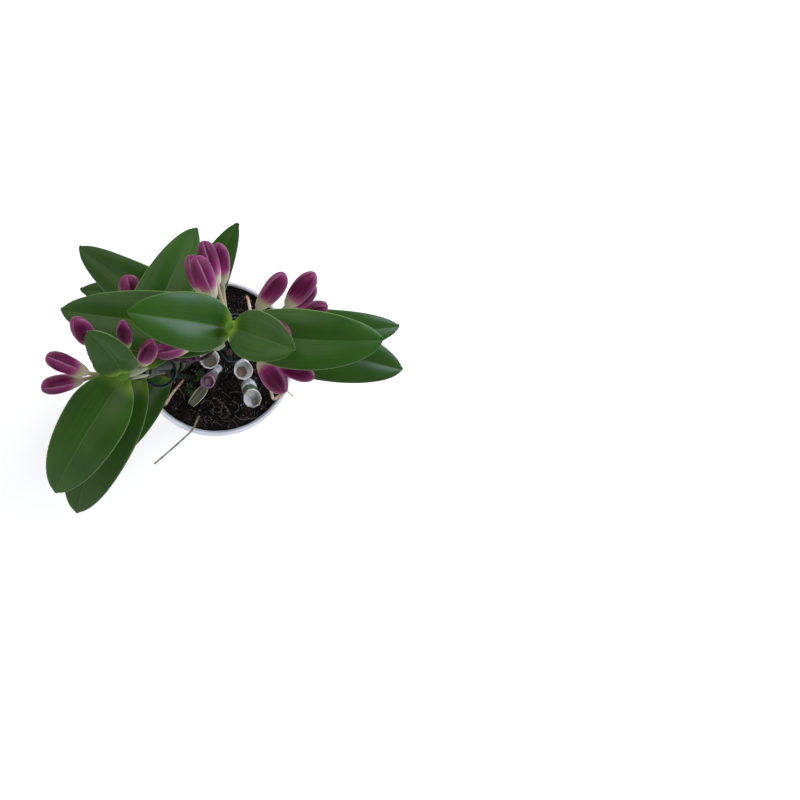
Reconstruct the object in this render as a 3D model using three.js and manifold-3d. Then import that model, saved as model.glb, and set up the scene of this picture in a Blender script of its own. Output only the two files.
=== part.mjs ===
// Potted dendrobium orchid: a white plastic pot of bark mix, two leafy canes in bud,
// the cut stubs of older canes, stakes with ring clips, and a few dry aerial roots.
// Lengths are millimetres and angles degrees. +Z is up, +X is to the right and +Y is
// away from the viewer when the plant is seen from above. The origin is the centre of
// the pot's underside.

import * as THREE from 'three';
import { mergeVertices } from 'three/addons/utils/BufferGeometryUtils.js';
import Module from 'manifold-3d';

const wasm = await Module();
wasm.setup();

// Pot and mix
const POT_HEIGHT = 110;
const POT_TOP_RADIUS = 60;
const POT_BASE_RADIUS = 43;
const POT_WALL = 1.3;
const POT_SIDES = 36;
const POT_FLOOR = 1.8;
const RIM_WIDTH = 2.8;
const SKIRT_HEIGHT = 12;
const SKIRT_WALL = 1.1;
const DRAIN_HOLES = 6;
const DRAIN_RADIUS = 3.5;
const DRAIN_CIRCLE = 30;
const MIX_LEVEL = 103;
const MIX_RELIEF = 1.5;

// Clearance between neighbouring pieces
const GAP = 0.3;

// Canes: the path of each cane's axis, and its radius at a few heights
const CANE_SIDES = 10;
const CANE_FOOT = 86;
const JOINT_LENGTH = 26;
const SLEEVE_STEP = 12;
const CANES = {
  a: {
    path: [[8, 18, 84], [13, 20, 200], [11, 17, 320], [9, 17.5, 432]],
    radii: [[84, 5.2], [140, 6.2], [200, 6.6], [300, 5], [380, 3.8], [432, 2.4]],
    bareTop: 222,
    top: 423,
  },
  b: {
    path: [[-22, 0, 84], [-29, -4, 200], [-39, -7, 305], [-56, -9.8, 396]],
    radii: [[84, 5], [140, 6], [200, 6.2], [300, 4.6], [350, 3.7], [396, 2.4]],
    bareTop: 208,
    top: 391,
  },
};

// Leaves, from the top of each cane down. z is the joint where the blade leaves the
// cane, sheath the length of its tube below, head the compass direction of the blade's
// root, sway its sideways bend, lift its slope at the root and droop the slope that it
// loses by the tip. roll turns the blade about its midrib, and widest is where along
// its length it is widest.
const LEAF_ROWS = 8;
const LEAF_COLUMNS = 4;
const BLADE_EDGE = 0.8;
const BLADE_RIB = 1.4;
const BLADE_ARCH = 0.34;
const BLADE_GROOVE = 0.4;
const ROOT_GROOVE = 0.35;
const EDGE_WAVE = 0.035;
const TIP_HALF_WIDTH = 2;
const TIP_NOTCH = 0.8;
const SHEATH_WALL = 0.9;
const SHEATH_FLARE = 0.2;
const BORE_GAP = 0.4;
const LEAVES = [
  // name, cane, z, sheath, head, sway, length, width, lift, droop, roll, widest
  ['leaf_a1', 'a', 426, 9, -21, 1.7, 44, 29, 50, 28, 0, 0.38],
  ['leaf_a2', 'a', 412, 12, 171, 2, 64, 34, 38, 24, 0, 0.37],
  ['leaf_a3', 'a', 384, 20, -12.5, 17, 90, 36.5, 28, 40, 0, 0.44],
  ['leaf_a4', 'a', 356, 22, 175.5, -4.5, 104, 40, 15, 36, 0, 0.32],
  ['leaf_a5', 'a', 328, 22, -4, 11.5, 104, 31, 24, 44, 0, 0.38],
  ['leaf_a6', 'a', 300, 22, 162, -21.5, 111, 36.5, 20, 40, -14, 0.32],
  ['leaf_a7', 'a', 272, 22, -12, -2.5, 113, 41, 24, 44, 0, 0.43],
  ['leaf_a8', 'a', 244, 20, 156.5, 18.5, 105, 28, 18, 40, 0, 0.32],
  ['leaf_b1', 'b', 394, 7, 107, 40, 38, 28, 50, 24, -35, 0.28],
  ['leaf_b2', 'b', 381, 19, -125, 7, 90, 38.5, 6, 48, 4, 0.35],
  ['leaf_b3', 'b', 352, 8.5, 74.5, -13, 94, 37.5, 0, 10, 0, 0.24],
  ['leaf_b4', 'b', 340, 17, -123.5, 16, 104.5, 39.5, 4, 42, 4, 0.4],
  ['leaf_b5', 'b', 222, 17, -126.5, -8.5, 89, 32, 8, 36, 0, 0.56],
  ['leaf_b6', 'b', 256, 20, 64, -1.5, 107, 29, 32, 28, 18, 0.38],
].map(([name, cane, z, sheath, head, sway, length, width, lift, droop, roll, widest]) => (
  { name, cane, z, sheath, head, sway, length, width, lift, droop, roll, widest }));

// Bud clusters. stalk is the direction, reach and rise of the common stalk from the
// cane. Each bud is [direction, reach, rise] of its base from the joint, then the
// [direction, lift, length, width] of the bud itself.
const STALK_RADIUS = 1.5;
const PEDICEL_RADIUS = 1.2;
const BUD_SIDES = 8;
const BUD_PROFILE = [[0, 0.34], [0.08, 0.6], [0.28, 0.84], [0.6, 1], [0.82, 0.88], [0.95, 0.55], [1, 0.2]];
const BUD_CHIN = 0.15;
const STALK_SIDES = 5;
const BUD_CLUSTERS = [
  { name: 'buds_a1', cane: 'a', z: 389, stalk: [115, 10, 1], buds: [
    [130, 28, -9, 107, 42, 30, 12.5], [122, 21, 12, 113, 31, 30, 13],
    [109, 28, -2, 108, 31, 30.5, 12], [102, 28, -15, 96, 41, 31, 11]] },
  { name: 'buds_a2', cane: 'a', z: 360, stalk: [28, 15, 4], buds: [
    [41, 20, 14, 53, 35, 31, 12.5], [24, 36, 12, 51, 36, 30.5, 13],
    [21, 37.5, -5, 42, 50, 30, 11.5], [17, 40, -17, 9, 45, 28, 10.5]] },
  { name: 'buds_a3', cane: 'a', z: 395, stalk: [10, 8, 5], buds: [
    [15, 19, 9, -36, 52, 27, 11.5]] },
  { name: 'buds_a4', cane: 'a', z: 331, stalk: [-44, 12, 8], buds: [
    [-48, 24.5, 17, -54, 39, 31, 14], [-38, 31, 12, -22, 30, 31, 12]] },
  { name: 'buds_a5', cane: 'a', z: 359, stalk: [206, 13, 6], buds: [
    [201, 27.5, 9, 192, 28, 24, 11]] },
  { name: 'buds_a6', cane: 'a', z: 303, stalk: [-16, 10, 2], buds: [
    [-28, 24, 5, -20, 25, 27, 11], [-4, 27, 3, 5, 22, 27, 11]] },
  { name: 'buds_a7', cane: 'a', z: 275, stalk: [186, 10, 2], buds: [
    [186, 24, 6, 182, 25, 26, 10.5]] },
  { name: 'buds_a8', cane: 'a', z: 331, stalk: [215, 13, 1], buds: [
    [217, 30, 3, 163, 10, 22, 10]] },
  { name: 'buds_b1', cane: 'b', z: 384, stalk: [168, 12, 3], buds: [
    [179, 22, -2, 156, 33, 29.5, 11.5], [188, 26, -11, 192, 38, 29, 11.5],
    [138, 26, 2, 119, 54, 28, 12.5]] },
  { name: 'buds_b2', cane: 'b', z: 359, stalk: [72, 5, 10], buds: [
    [105, 15, 19, 93, 58, 29, 9.3], [40, 6.5, 20, 62, 53, 26.5, 11]] },
  { name: 'buds_b3', cane: 'b', z: 334, stalk: [98, 18, -2], buds: [
    [101, 41, -10, 99, 34, 23, 13.8]] },
  { name: 'buds_b4', cane: 'b', z: 259, stalk: [150, 9, 2], buds: [
    [150, 22, 6, 150, 30, 26, 11]] },
];

// Old canes, cut back: foot and top of the axis, body radius and cup radius
const OLD_CANES = [
  { name: 'old_cane_1', foot: [-2.6, 0.6, 88], top: [-5.1, -0.9, 151], radius: 5.2, cup: 7.3 },
  { name: 'old_cane_2', foot: [20.2, -5.5, 88], top: [19.9, -9.3, 151], radius: 5.3, cup: 7.1 },
  { name: 'old_cane_3', foot: [23.5, -17.5, 88], top: [26.9, -30.7, 136], radius: 4.4, cup: 6.8 },
  { name: 'old_cane_4', foot: [5, -4, 88], top: [-6.7, -18, 140], radius: 2.7, cup: 5.4 },
];
const CUP_DEPTH = 3.5;
const CUP_HEIGHT = 20;

// Dried husk on the mix
const HUSK = {
  path: [[-8.5, -22.5, 108], [-13, -28, 109.5], [-19.5, -35.8, 107.5]],
  halfWidth: 4,
  halfDepth: 1.8,
};

// Stakes, from deep in the mix to the cut top
const STAKES = [
  { name: 'stake_a', foot: [21.1, 15.8, 30], top: [7.9, 3.6, 345], radius: 2.4 },
  { name: 'stake_b', foot: [-13.4, -16.2, 30], top: [-31, -10.8, 312], radius: 2 },
];

// Ring clips: centre, and the outline's half width and half length to the wire's middle
const CLIP_WIRE = 0.95;
const CLIPS = [
  { name: 'clip_a1', at: [11, 11.6, 316], halfWidth: 9, halfLength: 13.4 },
  { name: 'clip_a2', at: [13.8, 17.6, 214], halfWidth: 12.5, halfLength: 12.5 },
  { name: 'clip_b1', at: [-36.3, -8.5, 304], halfWidth: 10, halfLength: 10 },
];

// Dry aerial roots, on the mix or over the rim: path, and radius at the two ends
const ROOTS = [
  { name: 'root_1', radii: [0.8, 1], path: [
    [-24.5, -16.5, 101], [-26.5, -19, 107], [-33, -26.8, 110.5], [-37.5, -34, 108], [-39, -36, 103]] },
  { name: 'root_2', radii: [1.3, 1], path: [
    [41, -20, 101], [41.4, -24, 107], [43.3, -31.3, 107.8], [46.5, -30.2, 110], [50.2, -27.6, 112.6]] },
  { name: 'root_3', radii: [0.9, 0.6], path: [
    [-13, -44, 101], [-14.5, -47, 106], [-16, -50.5, 111],
    [-19.5, -56.2, 112.4], [-32.3, -68, 110], [-47.3, -81.1, 104]] },
  { name: 'root_4', radii: [1.3, 1], path: [
    [25.5, 30, 101], [26, 35, 106], [25, 41.5, 107.5], [23.8, 46, 106], [23.5, 47.5, 102]] },
  { name: 'root_5', radii: [0.9, 0.6], path: [
    [45, -18.5, 101], [47.5, -20.5, 107], [50.3, -22.5, 111.2], [53.5, -25, 112.2], [58.3, -29.3, 111.5]] },
];

function finish(name, color, roughness) {
  return new THREE.MeshStandardMaterial({ name, color, roughness });
}

const WHITE_PLASTIC = finish('pot_plastic', 0xf1f2f6, 0.35);
const BARK_MIX = finish('bark_mix', 0x2a1c16, 0.95);
const CANE_SKIN = finish('cane_skin', 0x8c9560, 0.6);
const PAPERY_SHEATH = finish('papery_sheath', 0xb9b6a2, 0.7);
const LEAF_GREEN = finish('leaf_green', 0x3a6a2c, 0.42);
const BUD_MAGENTA = finish('bud_magenta', 0x8e2f66, 0.45);
const STAKE_GREEN = finish('stake_green', 0x26352c, 0.5);
const CLIP_TEAL = finish('clip_teal', 0x12303a, 0.35);
const DRY_ROOT = finish('dry_root', 0xb99d80, 0.85);

function vector(point) {
  return new THREE.Vector3(point[0], point[1], point[2]);
}

function direction(azimuth, elevation = 0) {
  const a = THREE.MathUtils.degToRad(azimuth);
  const e = THREE.MathUtils.degToRad(elevation);
  return new THREE.Vector3(Math.cos(a) * Math.cos(e), Math.sin(a) * Math.cos(e), Math.sin(e));
}

function interpolate(table, x) {
  let i = 0;
  while (i < table.length - 2 && x > table[i + 1][0]) i += 1;
  const t = (x - table[i][0]) / (table[i + 1][0] - table[i][0]);
  return table[i][1] + (table[i + 1][1] - table[i][1]) * THREE.MathUtils.clamp(t, 0, 1);
}

// Turns a closed geometry into a solid for joining and cutting.
function solid(geometry) {
  const bare = geometry.clone();
  bare.deleteAttribute('normal');
  bare.deleteAttribute('uv');
  const merged = mergeVertices(bare, 1e-4);
  return new wasm.Manifold(new wasm.Mesh({
    numProp: 3,
    vertProperties: new Float32Array(merged.attributes.position.array),
    triVerts: new Uint32Array(merged.index.array),
  }));
}

function geometryOf(body) {
  const mesh = body.getMesh();
  const geometry = new THREE.BufferGeometry();
  geometry.setAttribute('position', new THREE.BufferAttribute(new Float32Array(mesh.vertProperties), 3));
  geometry.setIndex(new THREE.BufferAttribute(new Uint32Array(mesh.triVerts), 1));
  geometry.computeVertexNormals();
  return geometry;
}

// Skins a row of rings, each counter-clockwise about the way that the row runs, and
// closes both ends with a fan.
function loft(rings) {
  const sides = rings[0].length;
  const positions = [];
  const faces = [];
  for (const ring of rings) {
    for (const p of ring) positions.push(p.x, p.y, p.z);
  }
  for (let j = 0; j < rings.length - 1; j += 1) {
    for (let i = 0; i < sides; i += 1) {
      const a = j * sides + i;
      const b = j * sides + (i + 1) % sides;
      faces.push(a, b, b + sides, a, b + sides, a + sides);
    }
  }
  for (const end of [0, rings.length - 1]) {
    const ring = rings[end];
    const first = end * sides;
    const centre = new THREE.Vector3();
    for (const p of ring) centre.addScaledVector(p, 1 / sides);
    const hub = positions.length / 3;
    positions.push(centre.x, centre.y, centre.z);
    for (let i = 0; i < sides; i += 1) {
      const a = first + i;
      const b = first + (i + 1) % sides;
      faces.push(...(end === 0 ? [hub, b, a] : [hub, a, b]));
    }
  }
  const geometry = new THREE.BufferGeometry();
  geometry.setAttribute('position', new THREE.Float32BufferAttribute(positions, 3));
  geometry.setIndex(faces);
  return geometry;
}

// A ring of points round a centre in the plane of two directions.
function ring(centre, sides, u, v, radiusU, radiusV = radiusU) {
  const points = [];
  for (let i = 0; i < sides; i += 1) {
    const angle = 2 * Math.PI * i / sides;
    points.push(centre.clone()
      .addScaledVector(u, radiusU * Math.cos(angle))
      .addScaledVector(v, radiusV * Math.sin(angle)));
  }
  return points;
}

function levelRing(centre, radius, sides = CANE_SIDES) {
  return ring(centre, sides, new THREE.Vector3(1, 0, 0), new THREE.Vector3(0, 1, 0), radius);
}

// A round tapering tube along a curve.
function taperedTube(curve, steps, sides, startRadius, endRadius) {
  const frames = curve.computeFrenetFrames(steps, false);
  const rings = [];
  for (let i = 0; i <= steps; i += 1) {
    const radius = THREE.MathUtils.lerp(startRadius, endRadius, i / steps);
    rings.push(ring(curve.getPointAt(i / steps), sides, frames.normals[i], frames.binormals[i], radius));
  }
  return loft(rings);
}

// Canes

// The cane's axis at a height: a smooth curve through the path's points.
function canePoint(name, z) {
  const path = CANES[name].path;
  const last = path.length - 1;
  const height = THREE.MathUtils.clamp(z, path[0][2], path[last][2]);
  let i = 0;
  while (i < last - 1 && height > path[i + 1][2]) i += 1;
  const t = (height - path[i][2]) / (path[i + 1][2] - path[i][2]);
  const p0 = path[Math.max(i - 1, 0)];
  const p1 = path[i];
  const p2 = path[i + 1];
  const p3 = path[Math.min(i + 2, last)];
  const blend = (k) => 0.5 * (2 * p1[k] + (p2[k] - p0[k]) * t
    + (2 * p0[k] - 5 * p1[k] + 4 * p2[k] - p3[k]) * t * t
    + (3 * p1[k] - p0[k] - 3 * p2[k] + p3[k]) * t * t * t);
  return new THREE.Vector3(blend(0), blend(1), z);
}

function caneRadius(name, z) {
  return interpolate(CANES[name].radii, z);
}

// A solid round the cane's axis between two heights, wider than the cane by extra.
function caneSleeve(name, low, high, extra, flare = 0) {
  const steps = Math.max(1, Math.round((high - low) / SLEEVE_STEP));
  const rings = [];
  for (let i = 0; i <= steps; i += 1) {
    const z = THREE.MathUtils.lerp(low, high, i / steps);
    rings.push(levelRing(canePoint(name, z), caneRadius(name, z) + extra + flare * i / steps));
  }
  return solid(loft(rings));
}

// The lower joints carry old papery sheaths: each widens to its loose top edge and
// steps back to the bare neck of the joint above. The leafy part is a smooth taper.
function caneGeometry(name, extra = 0) {
  const cane = CANES[name];
  const rings = [];
  const add = (z, factor) => {
    rings.push(levelRing(canePoint(name, z), caneRadius(name, z) * factor + extra));
  };
  add(CANE_FOOT - extra, 0.85);
  for (let z = MIX_LEVEL; z + JOINT_LENGTH < cane.bareTop + 6; z += JOINT_LENGTH) {
    add(z, 0.9);
    add(z + 1.5, 1.03);
    add(z + JOINT_LENGTH - 4.5, 1.12);
    add(z + JOINT_LENGTH - 3.5, 0.92);
  }
  for (let z = cane.bareTop; z < cane.top - 8; z += 20) add(z, 1);
  add(cane.top - 5, 0.95);
  add(cane.top, 0.4);
  return loft(rings);
}

// Leaves

function halfWidth(leaf, s) {
  const { width, widest } = leaf;
  const full = s < widest ? 1 - s / widest : (s - widest) / (1 - widest);
  const power = s < widest ? 1 / 1.7 : 1 / 1.5;
  return 0.5 * width * Math.pow(Math.max(0, 1 - full * full), power);
}

// Directions along, across and up from the blade at a share s of its length.
function bladeFrame(leaf, s) {
  const along = direction(leaf.head + leaf.sway * s, leaf.lift - leaf.droop * s);
  const across = new THREE.Vector3(0, 0, 1).cross(along).normalize();
  const up = along.clone().cross(across);
  const roll = THREE.MathUtils.degToRad(leaf.roll) * Math.min(1, s * 3);
  const tilted = across.clone().multiplyScalar(Math.cos(roll)).addScaledVector(up, Math.sin(roll));
  return { along, across: tilted, up: along.clone().cross(tilted) };
}

// The rows stand closer towards both ends of the blade.
function rowShare(j) {
  const t = Math.max(0, j) / LEAF_ROWS;
  return 0.4 * t + 0.3 * (1 - Math.cos(Math.PI * t));
}

// The midrib's points: one on the cane's axis, then the blade's rows to its tip.
function midribPoints(leaf) {
  const axis = canePoint(leaf.cane, leaf.z - BLADE_RIB / 2);
  const points = [axis];
  const point = axis.clone().addScaledVector(direction(leaf.head), caneRadius(leaf.cane, leaf.z));
  points.push(point.clone());
  for (let j = 1; j <= LEAF_ROWS; j += 1) {
    const from = rowShare(j - 1);
    const to = rowShare(j);
    point.addScaledVector(bladeFrame(leaf, (from + to) / 2).along, leaf.length * (to - from));
    points.push(point.clone());
  }
  return points;
}

// The blade is a grid of rows and columns with a thickness. Each half is arched up from
// the midrib's groove, the root clasps the cane, and the tip has a slanting notch.
function bladeGeometry(leaf) {
  const midrib = midribPoints(leaf);
  const rows = midrib.length;
  const columns = LEAF_COLUMNS + 1;
  const top = [];
  const bottom = [];
  for (let j = 0; j < rows; j += 1) {
    const s = rowShare(j - 1);
    const frame = bladeFrame(leaf, s);
    const cane = caneRadius(leaf.cane, leaf.z);
    const clasp = j === 0 ? 0.6 * cane : 0.5 * cane + 2.6;
    const half = Math.max(halfWidth(leaf, s), s < 0.2 ? clasp : TIP_HALF_WIDTH);
    const groove = BLADE_GROOVE + ROOT_GROOVE * Math.pow(1 - s, 6);
    for (let i = 0; i < columns; i += 1) {
      const u = 2 * i / LEAF_COLUMNS - 1;
      const arch = half * (groove * Math.abs(u) - BLADE_ARCH * u * u);
      const wave = EDGE_WAVE * half * u * Math.sin(9 * s + leaf.z);
      const notch = j === rows - 1 ? TIP_NOTCH * (0.5 * u + Math.abs(u) - 1) : 0;
      const thick = THREE.MathUtils.lerp(BLADE_RIB, BLADE_EDGE, Math.abs(u)) / 2;
      const place = midrib[j].clone()
        .addScaledVector(frame.across, half * u)
        .addScaledVector(frame.up, arch + wave)
        .addScaledVector(frame.along, notch);
      top.push(place.clone().addScaledVector(frame.up, thick));
      bottom.push(place.clone().addScaledVector(frame.up, -thick));
    }
  }
  const positions = [...top, ...bottom].flatMap((p) => [p.x, p.y, p.z]);
  const under = top.length;
  const faces = [];
  const quad = (a, b, c, d) => faces.push(a, b, c, a, c, d);
  for (let j = 0; j < rows - 1; j += 1) {
    for (let i = 0; i < columns - 1; i += 1) {
      const a = j * columns + i;
      const b = a + columns;
      if (i < LEAF_COLUMNS / 2) {
        quad(a, b, b + 1, a + 1);
        quad(b + 1 + under, b + under, a + under, a + 1 + under);
      } else {
        quad(b, b + 1, a + 1, a);
        quad(a + under, a + 1 + under, b + 1 + under, b + under);
      }
    }
    const right = j * columns;
    const left = right + columns - 1;
    quad(right, right + under, right + columns + under, right + columns);
    quad(left + columns, left + columns + under, left + under, left);
  }
  const tip = (rows - 1) * columns;
  for (let i = 0; i < columns - 1; i += 1) {
    quad(i, i + 1, i + 1 + under, i + under);
    quad(tip + i + 1, tip + i, tip + i + under, tip + i + 1 + under);
  }
  const geometry = new THREE.BufferGeometry();
  geometry.setAttribute('position', new THREE.Float32BufferAttribute(positions, 3));
  geometry.setIndex(faces);
  return geometry;
}

// A leaf is its blade and the tube-shaped sheath that wraps the cane below it.
function leafGeometry(leaf) {
  const low = leaf.z - leaf.sheath;
  const sheath = caneSleeve(leaf.cane, low, leaf.z, GAP + SHEATH_WALL, SHEATH_FLARE);
  const boreTop = Math.min(leaf.z + 14, CANES[leaf.cane].top + GAP);
  const bore = caneSleeve(leaf.cane, low - 2, boreTop, BORE_GAP);
  return geometryOf(solid(bladeGeometry(leaf)).add(sheath).subtract(bore));
}

// Buds

// A closed bud: a base with a chin below, full in the middle, blunt at the tip, and
// slightly three-sided, as three sepals wrap it.
function budGeometry(base, azimuth, lift, length, width) {
  const axis = direction(azimuth, lift);
  const down = direction(azimuth, lift - 90);
  const side = axis.clone().cross(down);
  const rings = BUD_PROFILE.map(([s, share]) => {
    const chin = BUD_CHIN * width * Math.exp(-Math.pow((s - 0.14) / 0.14, 2));
    const centre = base.clone().addScaledVector(axis, length * s).addScaledVector(down, chin);
    const points = [];
    for (let i = 0; i < BUD_SIDES; i += 1) {
      const angle = 2 * Math.PI * i / BUD_SIDES;
      const radius = 0.5 * width * share * (1 + 0.05 * Math.cos(3 * angle));
      points.push(centre.clone()
        .addScaledVector(down, radius * Math.cos(angle))
        .addScaledVector(side, radius * Math.sin(angle)));
    }
    return points;
  });
  return loft(rings);
}

// What a stalk may not enter: the cane, and the leaf sheaths near its joint.
function caneKeepOut(name, z) {
  const reach = 16;
  const keepOut = 2 * GAP + SHEATH_WALL + SHEATH_FLARE;
  let body = caneSleeve(name, z - reach, z + reach, GAP);
  for (const leaf of LEAVES) {
    const low = leaf.z - leaf.sheath;
    if (leaf.cane === name && low < z + reach && leaf.z > z - reach) {
      body = body.add(caneSleeve(name, low - GAP, leaf.z + GAP, keepOut));
    }
  }
  return body;
}

function clusterGeometry(cluster) {
  const joint = canePoint(cluster.cane, cluster.z);
  const [azimuth, reach, rise] = cluster.stalk;
  const fork = joint.clone().addScaledVector(direction(azimuth), reach);
  fork.z = joint.z + rise;
  const stalk = new THREE.LineCurve3(joint, fork);
  let body = solid(taperedTube(stalk, 1, STALK_SIDES, STALK_RADIUS, STALK_RADIUS));
  for (const [baseAzimuth, baseReach, baseRise, budAzimuth, lift, length, width] of cluster.buds) {
    const base = joint.clone().addScaledVector(direction(baseAzimuth), baseReach);
    base.z = joint.z + baseRise;
    const axis = direction(budAzimuth, lift);
    const bend = base.clone().addScaledVector(axis, -0.45 * base.distanceTo(fork));
    const start = joint.clone().lerp(fork, 0.8);
    const pedicel = new THREE.QuadraticBezierCurve3(start, bend, base.clone().addScaledVector(axis, 2));
    body = body.add(solid(taperedTube(pedicel, 4, STALK_SIDES, PEDICEL_RADIUS, PEDICEL_RADIUS)));
    body = body.add(solid(budGeometry(base, budAzimuth, lift, length, width)));
  }
  return geometryOf(body.subtract(caneKeepOut(cluster.cane, cluster.z)));
}

// Old canes

// A cut stub: jointed body, then a papery sheath that opens as a cup round the cut face.
function oldCaneGeometry(old, extra = 0) {
  const foot = vector(old.foot);
  const top = vector(old.top);
  const height = top.z - foot.z;
  const share = (z) => (z - foot.z) / height;
  const rings = [];
  const add = (s, radius) => rings.push(levelRing(foot.clone().lerp(top, s), radius + extra));
  const cupFoot = share(top.z - CUP_HEIGHT);
  add(-extra / height, old.radius * 0.9);
  add(cupFoot * 0.45, old.radius);
  add(cupFoot * 0.5, old.radius * 1.12);
  add(cupFoot * 0.55, old.radius);
  add(cupFoot, old.radius * 0.95);
  add(cupFoot + 0.02, (old.radius + old.cup) / 2 - 0.4);
  add(share(top.z - 5), old.cup - 0.4);
  add(1, old.cup);
  add(1, old.cup - 0.9);
  add(share(top.z - CUP_DEPTH), old.cup - 1.5);
  return loft(rings);
}

function huskGeometry() {
  const curve = new THREE.CatmullRomCurve3(HUSK.path.map(vector));
  const steps = 6;
  const rings = [];
  for (let i = 0; i <= steps; i += 1) {
    const s = i / steps;
    const along = curve.getTangentAt(s);
    const across = new THREE.Vector3(0, 0, 1).cross(along).normalize();
    const fullness = 0.55 + 0.45 * Math.sin(Math.PI * Math.min(1, 0.15 + s * 0.75));
    rings.push(ring(curve.getPointAt(s), 8, across, along.clone().cross(across),
      HUSK.halfWidth * fullness, HUSK.halfDepth * fullness));
  }
  return loft(rings);
}

// Stakes, clips and roots

function stakeGeometry(stake, extra = 0) {
  const foot = vector(stake.foot);
  const top = vector(stake.top);
  foot.z -= extra;
  const curve = new THREE.LineCurve3(foot, top);
  return taperedTube(curve, 1, 10, stake.radius + extra, stake.radius + extra);
}

function clipGeometry(clip) {
  const geometry = new THREE.TorusGeometry(clip.halfWidth, CLIP_WIRE, 5, 20);
  geometry.scale(1, clip.halfLength / clip.halfWidth, 1);
  geometry.translate(...clip.at);
  return geometryOf(solid(geometry));
}

function rootGeometry(root, extra = 0) {
  const curve = new THREE.CatmullRomCurve3(root.path.map(vector));
  const steps = 3 * (root.path.length - 1);
  return taperedTube(curve, steps, 5, root.radii[0] + extra, root.radii[1] + extra);
}

// The hole that a root leaves in the mix, with a pocket round each buried end.
function rootHole(root) {
  let hole = solid(rootGeometry(root, GAP));
  for (const [end, radius] of [[root.path[0], root.radii[0]], [root.path.at(-1), root.radii[1]]]) {
    if (end[2] > MIX_LEVEL) continue;
    const reach = radius + 2 * GAP;
    const low = vector(end).setZ(end[2] - reach);
    const high = vector(end).setZ(end[2] + reach);
    hole = hole.add(solid(loft([levelRing(low, reach), levelRing(high, reach)])));
  }
  return hole;
}

// Pot and mix

function wallRadius(z) {
  const taper = (POT_TOP_RADIUS - RIM_WIDTH + POT_WALL - POT_BASE_RADIUS) / POT_HEIGHT;
  return POT_BASE_RADIUS + taper * z;
}

// The wall tapers down from a rolled rim, whose skirt hangs clear of the wall.
function potGeometry() {
  const skirtFoot = POT_HEIGHT - SKIRT_HEIGHT;
  const skirtInside = POT_TOP_RADIUS - SKIRT_WALL;
  const underRim = POT_HEIGHT - 2.6;
  const profile = [
    [0, 0], [POT_BASE_RADIUS - 1.5, 0], [wallRadius(1.2), 1.2], [wallRadius(underRim), underRim],
    [skirtInside, underRim], [skirtInside, skirtFoot], [POT_TOP_RADIUS - 0.4, skirtFoot],
    [POT_TOP_RADIUS, POT_HEIGHT - 1.4], [POT_TOP_RADIUS - 0.9, POT_HEIGHT],
    [POT_TOP_RADIUS - RIM_WIDTH + 0.8, POT_HEIGHT], [POT_TOP_RADIUS - RIM_WIDTH, POT_HEIGHT - 0.8],
    [wallRadius(POT_FLOOR) - POT_WALL, POT_FLOOR], [0, POT_FLOOR],
  ];
  const shell = new THREE.LatheGeometry(profile.map(([r, z]) => new THREE.Vector2(r, z)), POT_SIDES);
  shell.rotateX(Math.PI / 2);
  let body = solid(shell);
  for (let i = 0; i < DRAIN_HOLES; i += 1) {
    const hole = new THREE.CylinderGeometry(DRAIN_RADIUS, DRAIN_RADIUS, 6, 12);
    hole.rotateX(Math.PI / 2);
    const place = direction(360 * (i + 0.5) / DRAIN_HOLES).multiplyScalar(DRAIN_CIRCLE);
    hole.translate(place.x, place.y, POT_FLOOR / 2);
    body = body.subtract(solid(hole));
  }
  return geometryOf(body);
}

function mixHeight(x, y) {
  const lumps = Math.sin(0.31 * x + 1) * Math.cos(0.27 * y) + 0.6 * Math.sin(0.55 * x - 0.47 * y + 2);
  return MIX_LEVEL + MIX_RELIEF * lumps;
}

// The mix fills the pot to just under the rim. Everything planted in it has its hole.
function mixGeometry() {
  const rings = [];
  const low = POT_FLOOR + GAP;
  const slack = POT_WALL + GAP + 0.1;
  rings.push(levelRing(new THREE.Vector3(0, 0, low), wallRadius(low) - slack, POT_SIDES));
  for (const share of [1, 0.84, 0.66, 0.48, 0.3, 0.12]) {
    const radius = (wallRadius(MIX_LEVEL) - slack) * share;
    rings.push(levelRing(new THREE.Vector3(0, 0, MIX_LEVEL), radius, POT_SIDES)
      .map((p) => p.setZ(share === 1 ? MIX_LEVEL - 1.5 : mixHeight(p.x, p.y))));
  }
  let body = solid(loft(rings));
  for (const name of Object.keys(CANES)) body = body.subtract(solid(caneGeometry(name, GAP)));
  for (const old of OLD_CANES) body = body.subtract(solid(oldCaneGeometry(old, GAP)));
  for (const stake of STAKES) body = body.subtract(solid(stakeGeometry(stake, GAP)));
  for (const root of ROOTS) body = body.subtract(rootHole(root));
  return geometryOf(body);
}

const plant = new THREE.Group();

function addPiece(name, geometry, material) {
  const mesh = new THREE.Mesh(geometry, material);
  mesh.name = name;
  plant.add(mesh);
}

addPiece('pot', potGeometry(), WHITE_PLASTIC);
addPiece('potting_mix', mixGeometry(), BARK_MIX);
for (const name of Object.keys(CANES)) addPiece(`cane_${name}`, caneGeometry(name), CANE_SKIN);
for (const leaf of LEAVES) addPiece(leaf.name, leafGeometry(leaf), LEAF_GREEN);
for (const cluster of BUD_CLUSTERS) addPiece(cluster.name, clusterGeometry(cluster), BUD_MAGENTA);
for (const old of OLD_CANES) addPiece(old.name, oldCaneGeometry(old), PAPERY_SHEATH);
addPiece('dry_husk', huskGeometry(), PAPERY_SHEATH);
for (const stake of STAKES) addPiece(stake.name, stakeGeometry(stake), STAKE_GREEN);
for (const clip of CLIPS) addPiece(clip.name, clipGeometry(clip), CLIP_TEAL);
for (const root of ROOTS) addPiece(root.name, rootGeometry(root), DRY_ROOT);

export default plant;
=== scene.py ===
import math

import bpy
import numpy as np
from mathutils import Matrix, Vector, noise


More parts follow.
